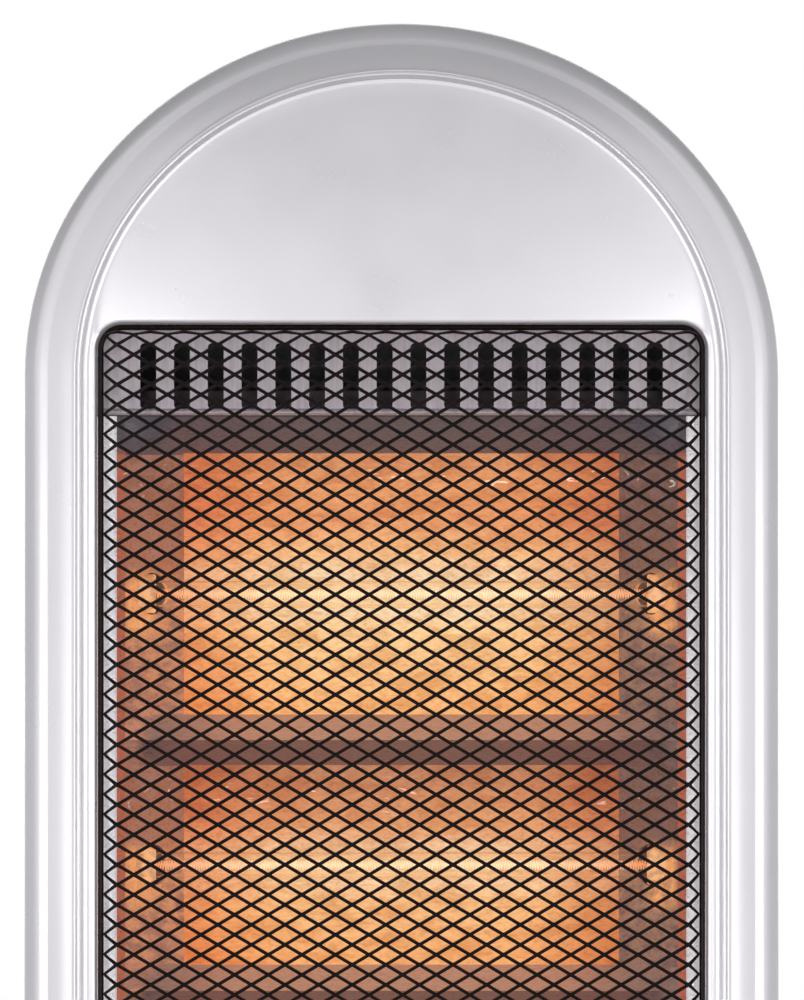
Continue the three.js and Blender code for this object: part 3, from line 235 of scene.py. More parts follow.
def bright_sheet():
    """The reflector: hammered bright sheet. The light of the tubes on it is painted by place, so
    that it needs no long light paths: pale by each tube, orange towards the ends, dull brown on
    the slopes of the ridges and on the end walls. Its flanges are plain, with a faint, even grey painted light."""
    m = Material("bright_sheet", metallic=0.35, roughness=0.34)
    x, y, z = m.axes()
    lean_x, _, lean_z = m.lean()
    side = m.math("ABSOLUTE", x)
    stucco = m.noise(620, detail=2, stretch=(0.55, 1, 1.3), distortion=0.6)
    fine = m.noise(2200, detail=3, stretch=(0.4, 1, 1.6))
    ripple = m.noise(150, detail=3, stretch=(0.4, 1, 1.8))
    wander = m.math("MULTIPLY", m.math("SUBTRACT", ripple, 0.5), 0.006)
    height = m.math("ADD", z, wander)

    # Which trough a place is in, its height from the tube, and how far it lies below the slope above
    over_low = m.math("GREATER_THAN", z, (MIDDLE_TUBE_Z - TROUGH_HALF) * MM)
    over_high = m.math("GREATER_THAN", z, (MIDDLE_TUBE_Z + TROUGH_HALF) * MM)
    step = m.math("MULTIPLY", m.math("ADD", over_low, over_high), TUBE_PITCH * MM)
    tube = m.math("SUBTRACT", m.math("SUBTRACT", height, TUBES[2] * MM), step)
    foot = m.math("ADD", m.math("MULTIPLY", over_low, SLOPE_STEPS[0] * MM),
                  m.math("MULTIPLY", over_high, SLOPE_STEPS[1] * MM))
    under = m.math("SUBTRACT", m.math("ADD", foot, LOWEST_SLOPE * MM), height)

    by_tube = m.span(tube, -0.040, 0.040)
    floor = m.ramp(by_tube, [
        (0.0, srgb(248, 178, 112)), (0.34, srgb(248, 198, 138)), (0.45, srgb(245, 214, 174)),
        (0.55, srgb(245, 213, 172)), (0.68, srgb(240, 178, 118)), (0.85, srgb(229, 152, 92)),
    ])
    # Dents in the sheet throw the light about.
    patches = m.ramp(m.noise(95, detail=3, stretch=(0.6, 1, 1.5), distortion=0.8), [
        (0.38, shade(0.9, 0.8, 0.68)), (0.5, shade(1, 1, 1)), (0.62, shade(1.05, 1.1, 1.12)),
    ])
    floor = m.mix(1.0, floor, patches, "MULTIPLY")
    floor = m.mix(1.0, floor, m.ramp(m.span(side, 0.030, 0.082), [
        (0.0, shade(1, 1, 1)), (0.3, shade(1, 0.94, 0.88)), (0.75, shade(0.91, 0.62, 0.48)),
        (1.0, shade(0.86, 0.5, 0.37)),
    ]), "MULTIPLY")
    # Painted shade: the trough floors are darker towards their right ends.
    floor = m.mix(1.0, floor, m.ramp(m.span(x, 0.045, 0.075), [
        (0.0, shade(1, 1, 1)), (1.0, shade(0.82, 0.85, 0.88)),
    ]), "MULTIPLY")
    below = m.span(under, 0.0, 0.034)
    first = m.ramp(below, [
        (0.0, shade(0.83, 0.8, 0.94)), (0.35, shade(0.97, 0.93, 0.95)), (0.76, shade(0.97, 0.86, 0.83)),
        (1.0, shade(1, 1, 1)),
    ])
    others = m.ramp(below, [
        (0.0, shade(0.62, 0.62, 0.88)), (0.35, shade(0.78, 0.69, 0.76)), (0.76, shade(0.9, 0.72, 0.65)),
        (1.0, shade(0.97, 0.84, 0.76)),
    ])
    floor = m.mix(1.0, floor, m.mix(over_high, others, first), "MULTIPLY")
    wall = m.ramp(by_tube, [
        (0.0, srgb(170, 122, 102)), (0.35, srgb(182, 130, 103)), (0.5, srgb(194, 132, 92)),
        (0.62, srgb(146, 96, 78)), (1.0, srgb(126, 90, 78)),
    ])
    wall = m.mix(m.ramp(ripple, [(0.42, shade(0, 0, 0)), (0.6, shade(1, 1, 1))]), wall, srgb(138, 100, 92))
    # Painted light: the left end wall is painted brighter and warmer, the right one darker.
    by_side = m.mix(m.math("GREATER_THAN", x, 0.0), shade(1.28, 1.06, 0.85), shade(0.64, 0.69, 0.72))
    wall = m.mix(1.0, wall, by_side, "MULTIPLY")
    # The tubes' ends light the sheet round their holes.
    halo = m.span(m.math("ABSOLUTE", m.math("ADD", tube, 0.004)), 0.014, 0.007)
    halo = m.math("MULTIPLY", halo, m.math("MULTIPLY", m.span(side, 0.086, 0.091), m.span(side, 0.1, 0.097)))
    wall = m.mix(m.math("MULTIPLY", halo, m.span(ripple, 0.36, 0.56, 0.3, 0.95)), wall, srgb(236, 158, 98))
    dimmer = m.ramp(m.span(side, 0.058, 0.082), [(0.0, shade(1, 1, 1)), (1.0, shade(0.62, 0.72, 0.84))])
    lit_slope = m.mix(1.0, dimmer, srgb(166, 118, 98), "MULTIPLY")
    upward = m.ramp(m.span(height, 0.440, 0.466), [
        (0, shade(0, 0, 0)), (0.55, shade(0.5, 0.5, 0.5)), (1, shade(1, 1, 1)),
    ])
    dark_slope = m.mix(upward, srgb(94, 68, 66), srgb(68, 65, 73))

    deep = m.math("MULTIPLY", m.span(y, -0.0188, -0.0182), m.span(m.math("ABSOLUTE", lean_x), 0.5, 0.3))
    glow = m.mix(m.span(lean_z, 0.45, 0.7), wall, lit_slope)
    glow = m.mix(m.span(lean_z, -0.3, -0.6), glow, dark_slope)
    glow = m.mix(m.math("GREATER_THAN", z, (REFLECTOR_TOP - 13.8) * MM), glow, dark_slope)
    glow = m.mix(deep, glow, floor)
    edge = m.math("GREATER_THAN", side, (END_WALL_TOP - 0.3) * MM)
    flange = m.math("GREATER_THAN", side, (FLANGE_HALF - 0.1) * MM)
    glow = m.mix(m.math("MULTIPLY", edge, m.span(z, 0.458, 0.454)), glow, srgb(166, 90, 66))
    # The hammered grain mottles the painted light.
    grain = m.ramp(m.math("ADD", m.math("MULTIPLY", stucco, 0.6), m.math("MULTIPLY", fine, 0.4)), [
        (0.34, shade(0.86, 0.78, 0.72)), (0.5, shade(1, 1, 1)), (0.66, shade(1.1, 1.16, 1.25)),
    ])
    glow = m.mix(1.0, glow, grain, "MULTIPLY")
    # Wavy glints under the ridges
    waves = m.ramp(m.noise(210, detail=4, stretch=(0.35, 1, 1.5), distortion=1.2), [
        (0.66, shade(0, 0, 0)), (0.70, shade(1, 0.9, 0.8)), (0.74, shade(0, 0, 0)),
    ])
    band = m.ramp(m.span(under, 0.003, 0.020), [
        (0, shade(0, 0, 0)), (0.35, shade(0.7, 0.7, 0.7)), (1, shade(0, 0, 0)),
    ])
    glow = m.mix(1.0, glow, m.mix(1.0, waves, band, "MULTIPLY"), "ADD")
    m.link(m.mix(flange, glow, shade(0.16, 0.15, 0.155)), m.shader.inputs["Emission Color"])
    m.shader.inputs["Emission Strength"].default_value = 0.95
    # Painted shade: the bright sheet's own colour is painted dark brown, as it lies in shade inside the head; the
    # painted glow gives its look.
    sheet = m.ramp(ripple, [(0.3, srgb(62, 54, 52)), (0.7, srgb(78, 70, 66))])
    m.color(m.mix(flange, sheet, srgb(236, 232, 236)))
    m.rough(stucco, 0.24, 0.38)
    m.bump(stucco, 0.0003, 0.5)
    m.bump(fine, 0.0001, 0.4)
    return m


def satin_sheet():
    m = Material("satin_sheet", metallic=0.3, roughness=0.36)
    brushed = m.noise(900, detail=3, stretch=(1, 1, 0.06))
    m.color(m.ramp(brushed, [(0.3, srgb(180, 170, 177)), (0.7, srgb(202, 192, 199))]))
    m.rough(brushed, 0.32, 0.46)
    m.bump(brushed, 0.00005)
    return m


def zinc_sheet():
    m = Material("zinc_sheet", metallic=0.8, roughness=0.45)
    spangle = m.cells(160)
    # Painted shade: the zinc is painted darker than bare zinc, standing in for the shade behind the vent slots.
    m.color(m.ramp(spangle, [(0.1, srgb(58, 54, 58)), (0.8, srgb(84, 80, 84))]))
    m.rough(m.noise(90), 0.38, 0.55)
    m.bump(m.noise(400, detail=3), 0.00005)
    return m


def plain_steel():
    m = Material("plain_steel", metallic=0.9, roughness=0.35)
    lathe = m.noise(700, detail=3, stretch=(0.2, 0.2, 3))
    m.color(m.ramp(lathe, [(0.3, srgb(128, 129, 132)), (0.7, srgb(172, 173, 176))]))
    m.rough(lathe, 0.28, 0.45)
    m.bump(lathe, 0.00004)
    return m


def quartz_glass():
    m = Material("quartz_glass", roughness=0.05, IOR=1.2, Transmission_Weight=0.95)
    reach = m.span(m.math("ABSOLUTE", m.axes()[0]), 0.030, 0.090)
    drift = m.noise(160, detail=3, stretch=(0.3, 1, 1))
    m.color(m.ramp(drift, [(0.3, srgb(255, 246, 232)), (0.7, srgb(255, 251, 244))]))
    glow = m.ramp(reach, [(0.0, srgb(122, 104, 78)), (0.6, srgb(104, 66, 36)), (1.0, srgb(50, 24, 12))])
    m.link(glow, m.shader.inputs["Emission Color"])
    m.shader.inputs["Emission Strength"].default_value = 0.12
    m.bump(drift, 0.00002)
    return m


def glowing_coil():
    m = Material("glowing_coil", roughness=0.5)
    glow_colour = m.ramp(m.noise(400, detail=2), [(0.3, srgb(246, 224, 190)), (0.7, srgb(250, 234, 208))])
    reach = m.span(m.math("ABSOLUTE", m.axes()[0]), 0.050, 0.088)
    glow_colour = m.mix(1.0, glow_colour, m.ramp(reach, [(0.0, shade(1, 1, 1)), (1.0, shade(0.9, 0.5, 0.3))]), "MULTIPLY")
    m.color(glow_colour)
    m.link(glow_colour, m.shader.inputs["Emission Color"])
    m.shader.inputs["Emission Strength"].default_value = 0.45
    return m


def ceramic():
    """Steatite end caps, with the light from the tube's end painted on them as an orange glow."""
    m = Material("ceramic", roughness=0.55)
    reach = m.math("ABSOLUTE", m.axes()[0])
    # Painted light: an orange glow from the tube's end, fading outwards along the cap.
    glow_colour = m.ramp(m.span(reach, 0.087, 0.106), [
        (0.0, srgb(240, 170, 104)), (0.45, srgb(226, 148, 86)), (0.75, srgb(140, 80, 50)), (1.0, srgb(50, 26, 18)),
    ])
    mottle = m.ramp(m.noise(300, detail=4), [(0.42, shade(0.6, 0.52, 0.46)), (0.6, shade(1.1, 1.1, 1.1))])
    m.link(m.mix(1.0, glow_colour, mottle, "MULTIPLY"), m.shader.inputs["Emission Color"])
    m.shader.inputs["Emission Strength"].default_value = 0.8
    m.color(m.ramp(m.noise(240, detail=4), [(0.3, srgb(150, 132, 110)), (0.7, srgb(190, 176, 154))]))
    m.rough(m.noise(300), 0.5, 0.65)
    m.bump(m.noise(1500, detail=3), 0.00005)
    return m


def textured_plastic(name, dark, light, roughness, depth):
    m = Material(name, roughness=roughness)
    m.color(m.ramp(m.noise(50, detail=4), [(0.3, srgb(*dark)), (0.7, srgb(*light))]))
    m.rough(m.noise(200), roughness - 0.05, roughness + 0.06)
    m.bump(m.cells(1400), depth, 0.5)
    return m


def cast_iron():
    m = Material("cast_iron", metallic=0.6, roughness=0.65)
    m.color(m.ramp(m.noise(120, detail=6), [(0.3, srgb(52, 52, 54)), (0.7, srgb(84, 84, 87))]))
    m.rough(m.noise(260), 0.55, 0.8)
    m.bump(m.noise(500, detail=6), 0.0003, 0.7)
    return m


MATERIALS = {
    "silver_plastic": silver_paint(),
    "guard_black": black_enamel(),
    "reflector_sheet": bright_sheet(),
    "satin_sheet": satin_sheet(),
    "zinc_sheet": zinc_sheet(),
    "plain_steel": plain_steel(),
    "quartz": quartz_glass(),
    "filament": glowing_coil(),
    "ceramic": ceramic(),
    "dark_plastic": textured_plastic("dark_plastic", (26, 26, 28), (40, 40, 43), 0.5, 0.0001),
    "panel_black": textured_plastic("panel_black", (16, 16, 18), (26, 26, 28), 0.22, 0.00002),
    "knob_silver": painted("knob_silver", srgb(188, 188, 192), srgb(204, 204, 208), 0.55, 0.28, (900, 0.00002)),
    "pale_nylon": textured_plastic("pale_nylon", (206, 200, 186), (226, 221, 208), 0.5, 0.00006),
    "rubber": textured_plastic("rubber", (20, 20, 20), (34, 34, 34), 0.8, 0.0002),
    "cast_iron": cast_iron(),
    "print_white": textured_plastic("print_white", (214, 214, 216), (232, 232, 234), 0.5, 0.00001),
}


# ---- Mesh helpers. Points are in millimetres.
def piece(name, points, faces, body, slot, replaces=(), sharp=30):
    """A mesh object with its body, slot and the solids that it stands for."""
    return dressed(bare(name, points, faces), body, slot, replaces, sharp)


def dressed(obj, body, slot, replaces=(), sharp=30, material=None):
    obj.data.shade_smooth()
    obj.data.set_sharp_from_angle(angle=math.radians(sharp))
    if not obj.data.materials:
        obj.data.materials.append(MATERIALS[material or slot].data)
    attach(obj, body)
    if replaces:
        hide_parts(*replaces)
    return obj


def carved(obj, cutters):
    """Cuts the cutters out of the object's mesh and deletes them."""
    for cutter in cutters:
        modifier = obj.modifiers.new("cut", "BOOLEAN")
        modifier.operation, modifier.solver, modifier.object = "DIFFERENCE", "EXACT", cutter
    shape = bpy.data.meshes.new_from_object(obj.evaluated_get(bpy.context.evaluated_depsgraph_get()))
    obj.modifiers.clear()
    obj.data = shape
    for cutter in cutters:
        bpy.data.objects.remove(cutter)
    return obj


def bare(name, points, faces, inner=None):
    """A mesh object that belongs to no body yet. Faces from number inner on are unpainted."""
    mesh = bpy.data.meshes.new(name)
    mesh.from_pydata([[c * MM for c in point] for point in points], [], faces)
    if inner is not None:
        mesh.materials.append(MATERIALS["silver_plastic"].data)
        mesh.materials.append(MATERIALS["dark_plastic"].data)
        for polygon in mesh.polygons:
            polygon.material_index = int(polygon.index >= inner)
    work = bmesh.new()
    work.from_mesh(mesh)
    bmesh.ops.remove_doubles(work, verts=work.verts, dist=1e-7)
    bmesh.ops.recalc_face_normals(work, faces=work.faces)
    work.to_mesh(mesh)
    work.free()
    obj = bpy.data.objects.new(name, mesh)
    bpy.context.scene.collection.objects.link(obj)
    return obj


def skin(rings, closed=False, caps=False):
    """Faces between rings that have the same number of points."""
    count = len(rings[0])
    points = [point for ring in rings for point in ring]
    faces = []
    spans = len(rings) if closed else len(rings) - 1
    for r in range(spans):
        n = (r + 1) % len(rings)
        for k in range(count):
            j = (k + 1) % count
            faces.append((r * count + k, r * count + j, n * count + j, n * count + k))
    if caps:
        faces.append(tuple(range(count)))
        faces.append(tuple(range((len(rings) - 1) * count, len(rings) * count)))
    return points, faces


def turned(profile, centre=(0, 0, 0), axis="z", sides=96):
    """A turned form from points of radius and place along the axis. Radius 0 closes it."""
    x, y, z = centre
    rings = []
    for radius, along in profile:
        ring = []
        for k in range(sides):
            a = 2 * math.pi * k / sides
            c, s = radius * math.cos(a), radius * math.sin(a)
            place = {"z": (c, s, along), "y": (c, along, s), "x": (along, c, s)}[axis]
            ring.append((place[0] + x, place[1] + y, place[2] + z))
        rings.append(ring)
    closed = profile[0][0] > 0 and profile[-1][0] > 0
    return skin(rings, closed=closed)


def smooth_line(points, steps):
    """A smooth line through the points."""
    line = []
    for k in range(len(points) - 1):
        before = points[max(k - 1, 0)]
        a, b = points[k], points[k + 1]
        after = points[min(k + 2, len(points) - 1)]
        for step in range(steps):
            t = step / steps
            line.append(tuple(
                0.5 * (2 * q + (r - p) * t + (2 * p - 5 * q + 4 * r - s) * t * t
                       + (3 * q - p - 3 * r + s) * t ** 3)
                for p, q, r, s in zip(before, a, b, after)
            ))
    return line + [tuple(points[-1])]


def bend(centre, radius, start, end, steps):
    """Points on an arc, in degrees."""
    return [
        (centre[0] + radius * math.cos(math.radians(start + (end - start) * k / steps)),
         centre[1] + radius * math.sin(math.radians(start + (end - start) * k / steps)))
        for k in range(steps + 1)
    ]


def slot_outline(width, height, radius, centre=(0, 0), steps=6):
    """A rounded rectangle as points of X and Z."""
    x, z = centre
    w, h = width / 2 - radius, height / 2 - radius
    return [
        point
        for cx, cz, start in ((w, -h, -90), (w, h, 0), (-w, h, 90), (-w, -h, 180))
        for point in bend((x + cx, z + cz), radius, start, start + 90, steps)
    ]


def prism(name, outline, from_y, to_y):
    rings = [[(x, y, z) for x, z in outline] for y in (from_y, to_y)]
    return bare(name, *skin(rings, caps=True))


def tube_along(path, radius, sides=10):
    """A round bar along points, with flat ends."""
    rings = []
    for k, point in enumerate(path):
        ahead = Vector(path[min(k + 1, len(path) - 1)]) - Vector(path[max(k - 1, 0)])
        ahead.normalize()
        across = ahead.cross(Vector((0, 1, 0)))
        if across.length < 0.1:
            across = ahead.cross(Vector((0, 0, 1)))
        across.normalize()
        up = ahead.cross(across)
        rings.append([
            tuple(Vector(point) + radius * (across * math.cos(a) + up * math.sin(a)))
            for a in (2 * math.pi * j / sides for j in range(sides))
        ])
    return skin(rings, caps=True)


# ---- The head's outlines, as rings that run round from the top's middle
ARCH_STEPS, CORNER_STEPS = 44, 12


def mirrored(left, y):
    right = [(-x, z) for x, z in reversed(left[1:-1])]
    return [(x, y, z) for x, z in left + right]


def quarter_arc(centre, radius_x, radius_z, start, steps):
    return [
        (centre[0] + radius_x * math.cos(start + QUARTER * k / steps),
         centre[1] + radius_z * math.sin(start + QUARTER * k / steps))
        for k in range(steps + 1)
    ]


def casing_ring(inset, y):
    half = HEAD_HALF - inset
    rise = ARCH_RISE - inset * EMBOSS_TOP / EMBOSS_INSET
    bottom = HEAD_BOTTOM + inset
    corner = max(FOOT_CORNER - inset, 4)
    left = quarter_arc((0, ARCH_CENTRE), half, rise, QUARTER, ARCH_STEPS)
    left += quarter_arc((corner - half, bottom + corner), corner, corner, math.pi, CORNER_STEPS)
    left += [((corner - half) * (1 - k / 8), bottom) for k in range(1, 9)]
    left[0] = (0, left[0][1])
    return mirrored(left, y)


def window_ring(inset, y):
    half = WINDOW_HALF - inset
    corner = max(WINDOW_CORNER - inset, 0.3)
    top, bottom = WINDOW_TOP - inset, WINDOW_BOTTOM + inset
    steps = ARCH_STEPS - CORNER_STEPS
    left = [((corner - half) * k / steps, top) for k in range(steps)]
    left += quarter_arc((corner - half, top - corner), corner, corner, QUARTER, CORNER_STEPS)
    left += quarter_arc((corner - half, bottom + corner), corner, corner, math.pi, CORNER_STEPS)
    left += [((corner - half) * (1 - k / 8), bottom) for k in range(1, 9)]
    return mirrored(left, y)


def bulge(x, z, share):
    """How far the face over the window stands forward of its edges."""
    if z < WINDOW_MIDDLE:
        return 0
    return FACE_BULGE * max(1 - (x / WINDOW_HALF) ** 2, 0) * share * (2 - share)


def between(first, last, share):
    """A ring of the face, part of the way from the embossed line to the window."""
    ring = []
    for a, b in zip(first, last):
        x, y, z = (p + (q - p) * share for p, q in zip(a, b))
        ring.append((x, y - bulge(x, z, share), z))
    return ring


# ---- Casings
LIP = 1.7
FACE_BULGE = 3.5


def front_shell():
    roll_width, roll_depth = FRONT_ROLL
    outer = [(0, -0.15), (0, -20)]
    outer += [
        (roll_width * (1 - math.cos(a)), BEVEL_Y + roll_depth * (1 - math.sin(a)))
        for a in (QUARTER * k / 8 for k in range(8))
    ]
    outer += smooth_line([(roll_width, BEVEL_Y), (13.0, -47.7), (17.4, -49.3)], 5)
    outer += smooth_line([
        (17.8, -49.6), (18.3, -49.65), (18.9, -49.0), (19.7, -48.75), (20.5, -49.3), (21.1, -50.1), (21.6, -50.25),
        (22.2, -50.12), (23.2, -50.1),
    ], 2)
    rings = [casing_ring(inset, y) for inset, y in outer]
    lip_start = window_ring(-LIP - 0.3, FACE_Y)
    rings += [between(rings[-1], lip_start, k / 16) for k in range(1, 16)]
    lip = [(-LIP - 0.3, FACE_Y)] + [(-LIP * (1 - math.sin(a)), FACE_Y + LIP * (1 - math.cos(a)))
                                    for a in (QUARTER * k / 6 for k in range(7))]
    rings += [[(x, y - bulge(x, z, 1), z) for x, y, z in window_ring(inset, depth)] for inset, depth in lip]
    returned = [(0, LINER_Y - 0.3), (-WALL, LINER_Y - 0.3), (-WALL, FACE_Y + WALL)]
    rings += [window_ring(inset, y) for inset, y in returned]
    outside = len(rings) * len(rings[0])
    inner = [(22, FACE_Y + WALL), (roll_width + WALL, BEVEL_Y + WALL), (WALL, BEVEL_Y + roll_depth), (WALL, -0.15)]
    rings += [casing_ring(inset, y) for inset, y in inner]
    shell = bare("front_shell", *skin(rings, closed=True), outside - len(rings[0]))
    width, height = (size + 0.6 for size in CONTROL_SIZE)
    outline = slot_outline(width, height, CONTROL_CORNER + 0.3, (0, CONTROL_Z), 8)
    carved(shell, [prism("aperture", outline, FACE_Y - 3, FACE_Y + 5), wire_way()])
    dressed(shell, "head", "silver_plastic", ("front_casing",), sharp=24)


def wire_way():
    """Cuts the hole for the wires in the casing's foot."""
    return bare("way", *turned([(0, 60), (WIRE_BORE, 60), (WIRE_BORE, 80), (0, 80)], sides=32))


def louvre_places():
    upper = [460 - 11 * k for k in range(5)]
    lower = [126 + 11 * k for k in range(4)]
    return [(x, z) for z in upper + lower for x in (-45, 45)]


def back_shell():
    outer = [
        (REAR_ROLL * (1 - math.cos(a)), REAR_Y - REAR_ROLL + REAR_ROLL * math.sin(a))
        for a in (QUARTER * k / 12 for k in range(13))
    ]
    outside = [(0, 0.15), (0, 14)] + outer
    inside = [(REAR_ROLL, REAR_Y - WALL), (10, REAR_Y - 9), (WALL, REAR_Y - REAR_ROLL), (WALL, 0.15)]
    # The rear wall closes on a seam in its middle.
    outer_rings = [casing_ring(inset, y) for inset, y in outside]
    outer_rings += [casing_ring(inset, REAR_Y) for inset in (40, 70, 100, 131)]
    outer_rings.append([(0, y, z) for x, y, z in outer_rings[-1]])
    inner_rings = [casing_ring(inset, REAR_Y - WALL) for inset in (131, 100, 60)]
    inner_rings.insert(0, [(0, y, z) for x, y, z in inner_rings[0]])
    inner_rings += [casing_ring(inset, y) for inset, y in inside]
    points, faces = skin(outer_rings + inner_rings, closed=True)
    count = len(outer_rings[0])
    seam = (len(outer_rings) - 1) * count
    shell = bare("back_shell", points, faces[:seam] + faces[seam + count:], seam)
    cutters = [prism("louvre", slot_outline(74, 5, 2.4, (x, z), 5), 40, 52) for x, z in louvre_places()]
    cutters.append(prism("grip_hole", slot_outline(*GRIP, (0, GRIP_Z), 12), 40, 52))
    cutters.append(wire_way())
    carved(shell, cutters)
    dressed(shell, "head", "silver_plastic", ("rear_casing",), sharp=30)
    grip_cup()


def grip_cup():
    """The carrying recess: a rounded cup with a soft lip."""
    width, height, radius = GRIP

    def ring(growth, y):
        outline = slot_outline(width + 2 * growth, height + 2 * growth, radius + growth, (0, GRIP_Z), 12)
        return [(x, y, z) for x, z in outline]

    rows = [(-14.5, 22.0), (-12, 22.0), (-6.0, 22.2), (-3.0, 23.0), (-1.2, 25.5), (-0.6, 30), (-0.3, 44),
            (0, 47.0), (0.5, 47.7), (1.2, 48.0), (1.8, 47.9), (2.4, 47.0), (2.4, 30), (1.6, 24), (-5, 19.8),
            (-14.5, 19.6)]
    rings = [ring(growth, y) for growth, y in rows]
    piece("grip_cup", *skin(rings, caps=True), "head", "silver_plastic", sharp=40)


# ---- The guard: expanded metal with its edge bent back
MESH_PITCH = (12.018, 7.153)
MESH_SHIFT = (0.43, -0.73)
GUARD_HALF = (WINDOW_HALF - 2.4, (WINDOW_TOP - WINDOW_BOTTOM) / 2 - 2.4)
GUARD_BEND, GUARD_EDGE = 2.0, 3.5
STRAND, STRAND_THICK, STRAND_LEAN = 1.12, 0.9, 0.25


def on_guard(u, v, behind):
    """Bends the flat blank into the tray."""
    flat = [half - GUARD_BEND for half in GUARD_HALF]
    near = [min(max(value, -edge), edge) for value, edge in zip((u, v), flat)]
    over = (u - near[0], v - near[1])
    reach = math.hypot(*over)
    length = QUARTER * GUARD_BEND
    run = min(reach, length + GUARD_EDGE)
    angle = min(run, length) / GUARD_BEND
    out = (GUARD_BEND - behind) * math.sin(angle)
    dx, dz = (over[0] / reach, over[1] / reach) if reach else (0, 0)
    y = FACE_Y - 4 + GUARD_BEND - (GUARD_BEND - behind) * math.cos(angle) + max(run - length, 0)
    return (near[0] + dx * out, y, WINDOW_MIDDLE + near[1] + dz * out)


def guard_mesh():
    half = (MESH_PITCH[0] / 2, MESH_PITCH[1] / 2)
    reach = [h - GUARD_BEND + QUARTER * GUARD_BEND + GUARD_EDGE for h in GUARD_HALF]
    share = STRAND * math.hypot(*half) / (2 * half[0] * half[1])
    columns, rows = (int(reach[k] / half[k]) for k in (0, 1))
    tilt = 0.25
    keys, points, faces = {}, [], []

    def corner(i, j, side, rise):
        key = (i, j, side, rise)
        if key not in keys:
            u = (i + side * (1 - share)) * half[0] + MESH_SHIFT[0]
            v = (j + rise * (1 - share)) * half[1] + MESH_SHIFT[1]
            lean = tilt * rise
            keys[key] = len(points)
            points.append(on_guard(u, v, lean))
            points.append(on_guard(u, v + STRAND_LEAN, lean + STRAND_THICK))
        return keys[key]

    polygons = []
    for i in range(-columns, columns + 1):
        for j in range(-rows, rows + 1):
            if (i + j) % 2:
                continue
            east, west = corner(i + 1, j, -1, 0), corner(i - 1, j, 1, 0)
            north, south = corner(i, j + 1, 0, -1), corner(i, j - 1, 0, 1)
            polygons.append((east, north, west, south))
            if i < columns and j < rows:
                polygons.append((east, corner(i + 1, j, 0, 1), corner(i, j + 1, 1, 0), north))
            if i < columns and j > -rows:
                polygons.append((south, corner(i, j - 1, 1, 0), corner(i + 1, j, 0, -1), east))
    edges = set()
    for polygon in polygons:
        faces.append(polygon)
        faces.append(tuple(p + 1 for p in reversed(polygon)))
        edges.update((polygon[k], polygon[(k + 1) % 4]) for k in range(4))
    for a, b in edges:
        if (b, a) not in edges:
            faces.append((b, a, a + 1, b + 1))
    obj = piece("guard_mesh", points, faces, "head", "guard_black", ("guard", "guard_edge"), sharp=50)
    bevel = obj.modifiers.new("soft", "BEVEL")
    bevel.width, bevel.segments, bevel.limit_method, bevel.angle_limit = 0.00022, 1, "ANGLE", math.radians(50)


WIRE_RADIUS = 1.05


def guard_wire():
    rings = []
    for k in range(16):
        a = 2 * math.pi * k / 16
        inset = 0.3 + WIRE_RADIUS * (1 - math.cos(a))
        rings.append(window_ring(inset, FACE_Y + 0.6 + WIRE_RADIUS * math.sin(a)))
    piece("guard_wire", *skin(rings, closed=True), "head", "guard_black", ("guard_frame",), sharp=60)


# ---- Reflector and panels
def trough_depth(z):
    """How far the reflector lies behind its ridges at a height."""
    floors = [(-147.2, -54.2), (-35.5, 35.5), (54.2, 147.2)]
    ends = [-TROUGH_END, -TROUGH_HALF, TROUGH_HALF, TROUGH_END]
    h = z - MIDDLE_TUBE_Z
    for (low, high), start, end in zip(floors, ends, ends[1:]):
        if start <= h <= end:
            if h < low:
                return 19 * (h - start) / (low - start)
            if h > high:
                return 19 * (end - h) / (end - high)
            across = 2 * (h - low) / (high - low) - 1
            return 28 - 9 * across ** 2
    return 0


def reflector_sheet():
    heights = sorted({MIDDLE_TUBE_Z + side * h for side in (-1, 1)
                      for h in (0, TROUGH_HALF, TROUGH_END, 35.5, 54.2, 147.2, 150)}
                     | {MIDDLE_TUBE_Z + TROUGH_END * k / 90 for k in range(-90, 91)})
    columns = [112.1, 105, 102.4, 101.4, 100.2, 99.2] + [
        END_WALL_TOP - (END_WALL_TOP - END_WALL_FOOT) * k / 6 for k in range(1, 7)
    ] + [75, 60, 40, 20]
    across = [-c for c in columns] + [0] + columns[::-1]

    def place(x, z):
        far = abs(x)
        if far >= 102:
            return LINER_Y
        if far >= END_WALL_TOP:
            return LINER_Y + (RIDGE_Y - LINER_Y) * (102 - far) / (102 - END_WALL_TOP)
        depth = trough_depth(z)
        return RIDGE_Y + depth * min((END_WALL_TOP - far) / (END_WALL_TOP - END_WALL_FOOT), 1)

    points = [(x, place(x, z) + back, z) for back in (0, SHEET) for z in heights for x in across]
    faces = []
    n, rows = len(across), len(heights)
    for back in (0, 1):
        start = back * n * rows
        for j in range(rows - 1):
            for i in range(n - 1):
                a = start + j * n + i
                quad = (a, a + 1, a + n + 1, a + n)
                faces.append(quad if back else quad[::-1])
    far = n * rows
    border = [i for i in range(n)] + [j * n + n - 1 for j in range(1, rows)]
    border += [(rows - 1) * n + i for i in range(n - 2, -1, -1)] + [j * n for j in range(rows - 2, 0, -1)]
    for a, b in zip(border, border[1:] + border[:1]):
        faces.append((a, b, b + far, a + far))
    obj = bare("reflector_sheet", points, faces)
    cutters = []
    radius = CAP_RADIUS + 0.5
    for z in TUBES:
        for side in (-1, 1):
            low, high = sorted((side * 78, side * 104))
            hole = turned([(0, low), (radius, low), (radius, high), (0, high)], (0, TUBE_Y, z), "x", 32)
            cutters.append(bare("hole", *hole))
    carved(obj, cutters)
    dressed(obj, "head", "reflector_sheet", ("reflector",), sharp=28)


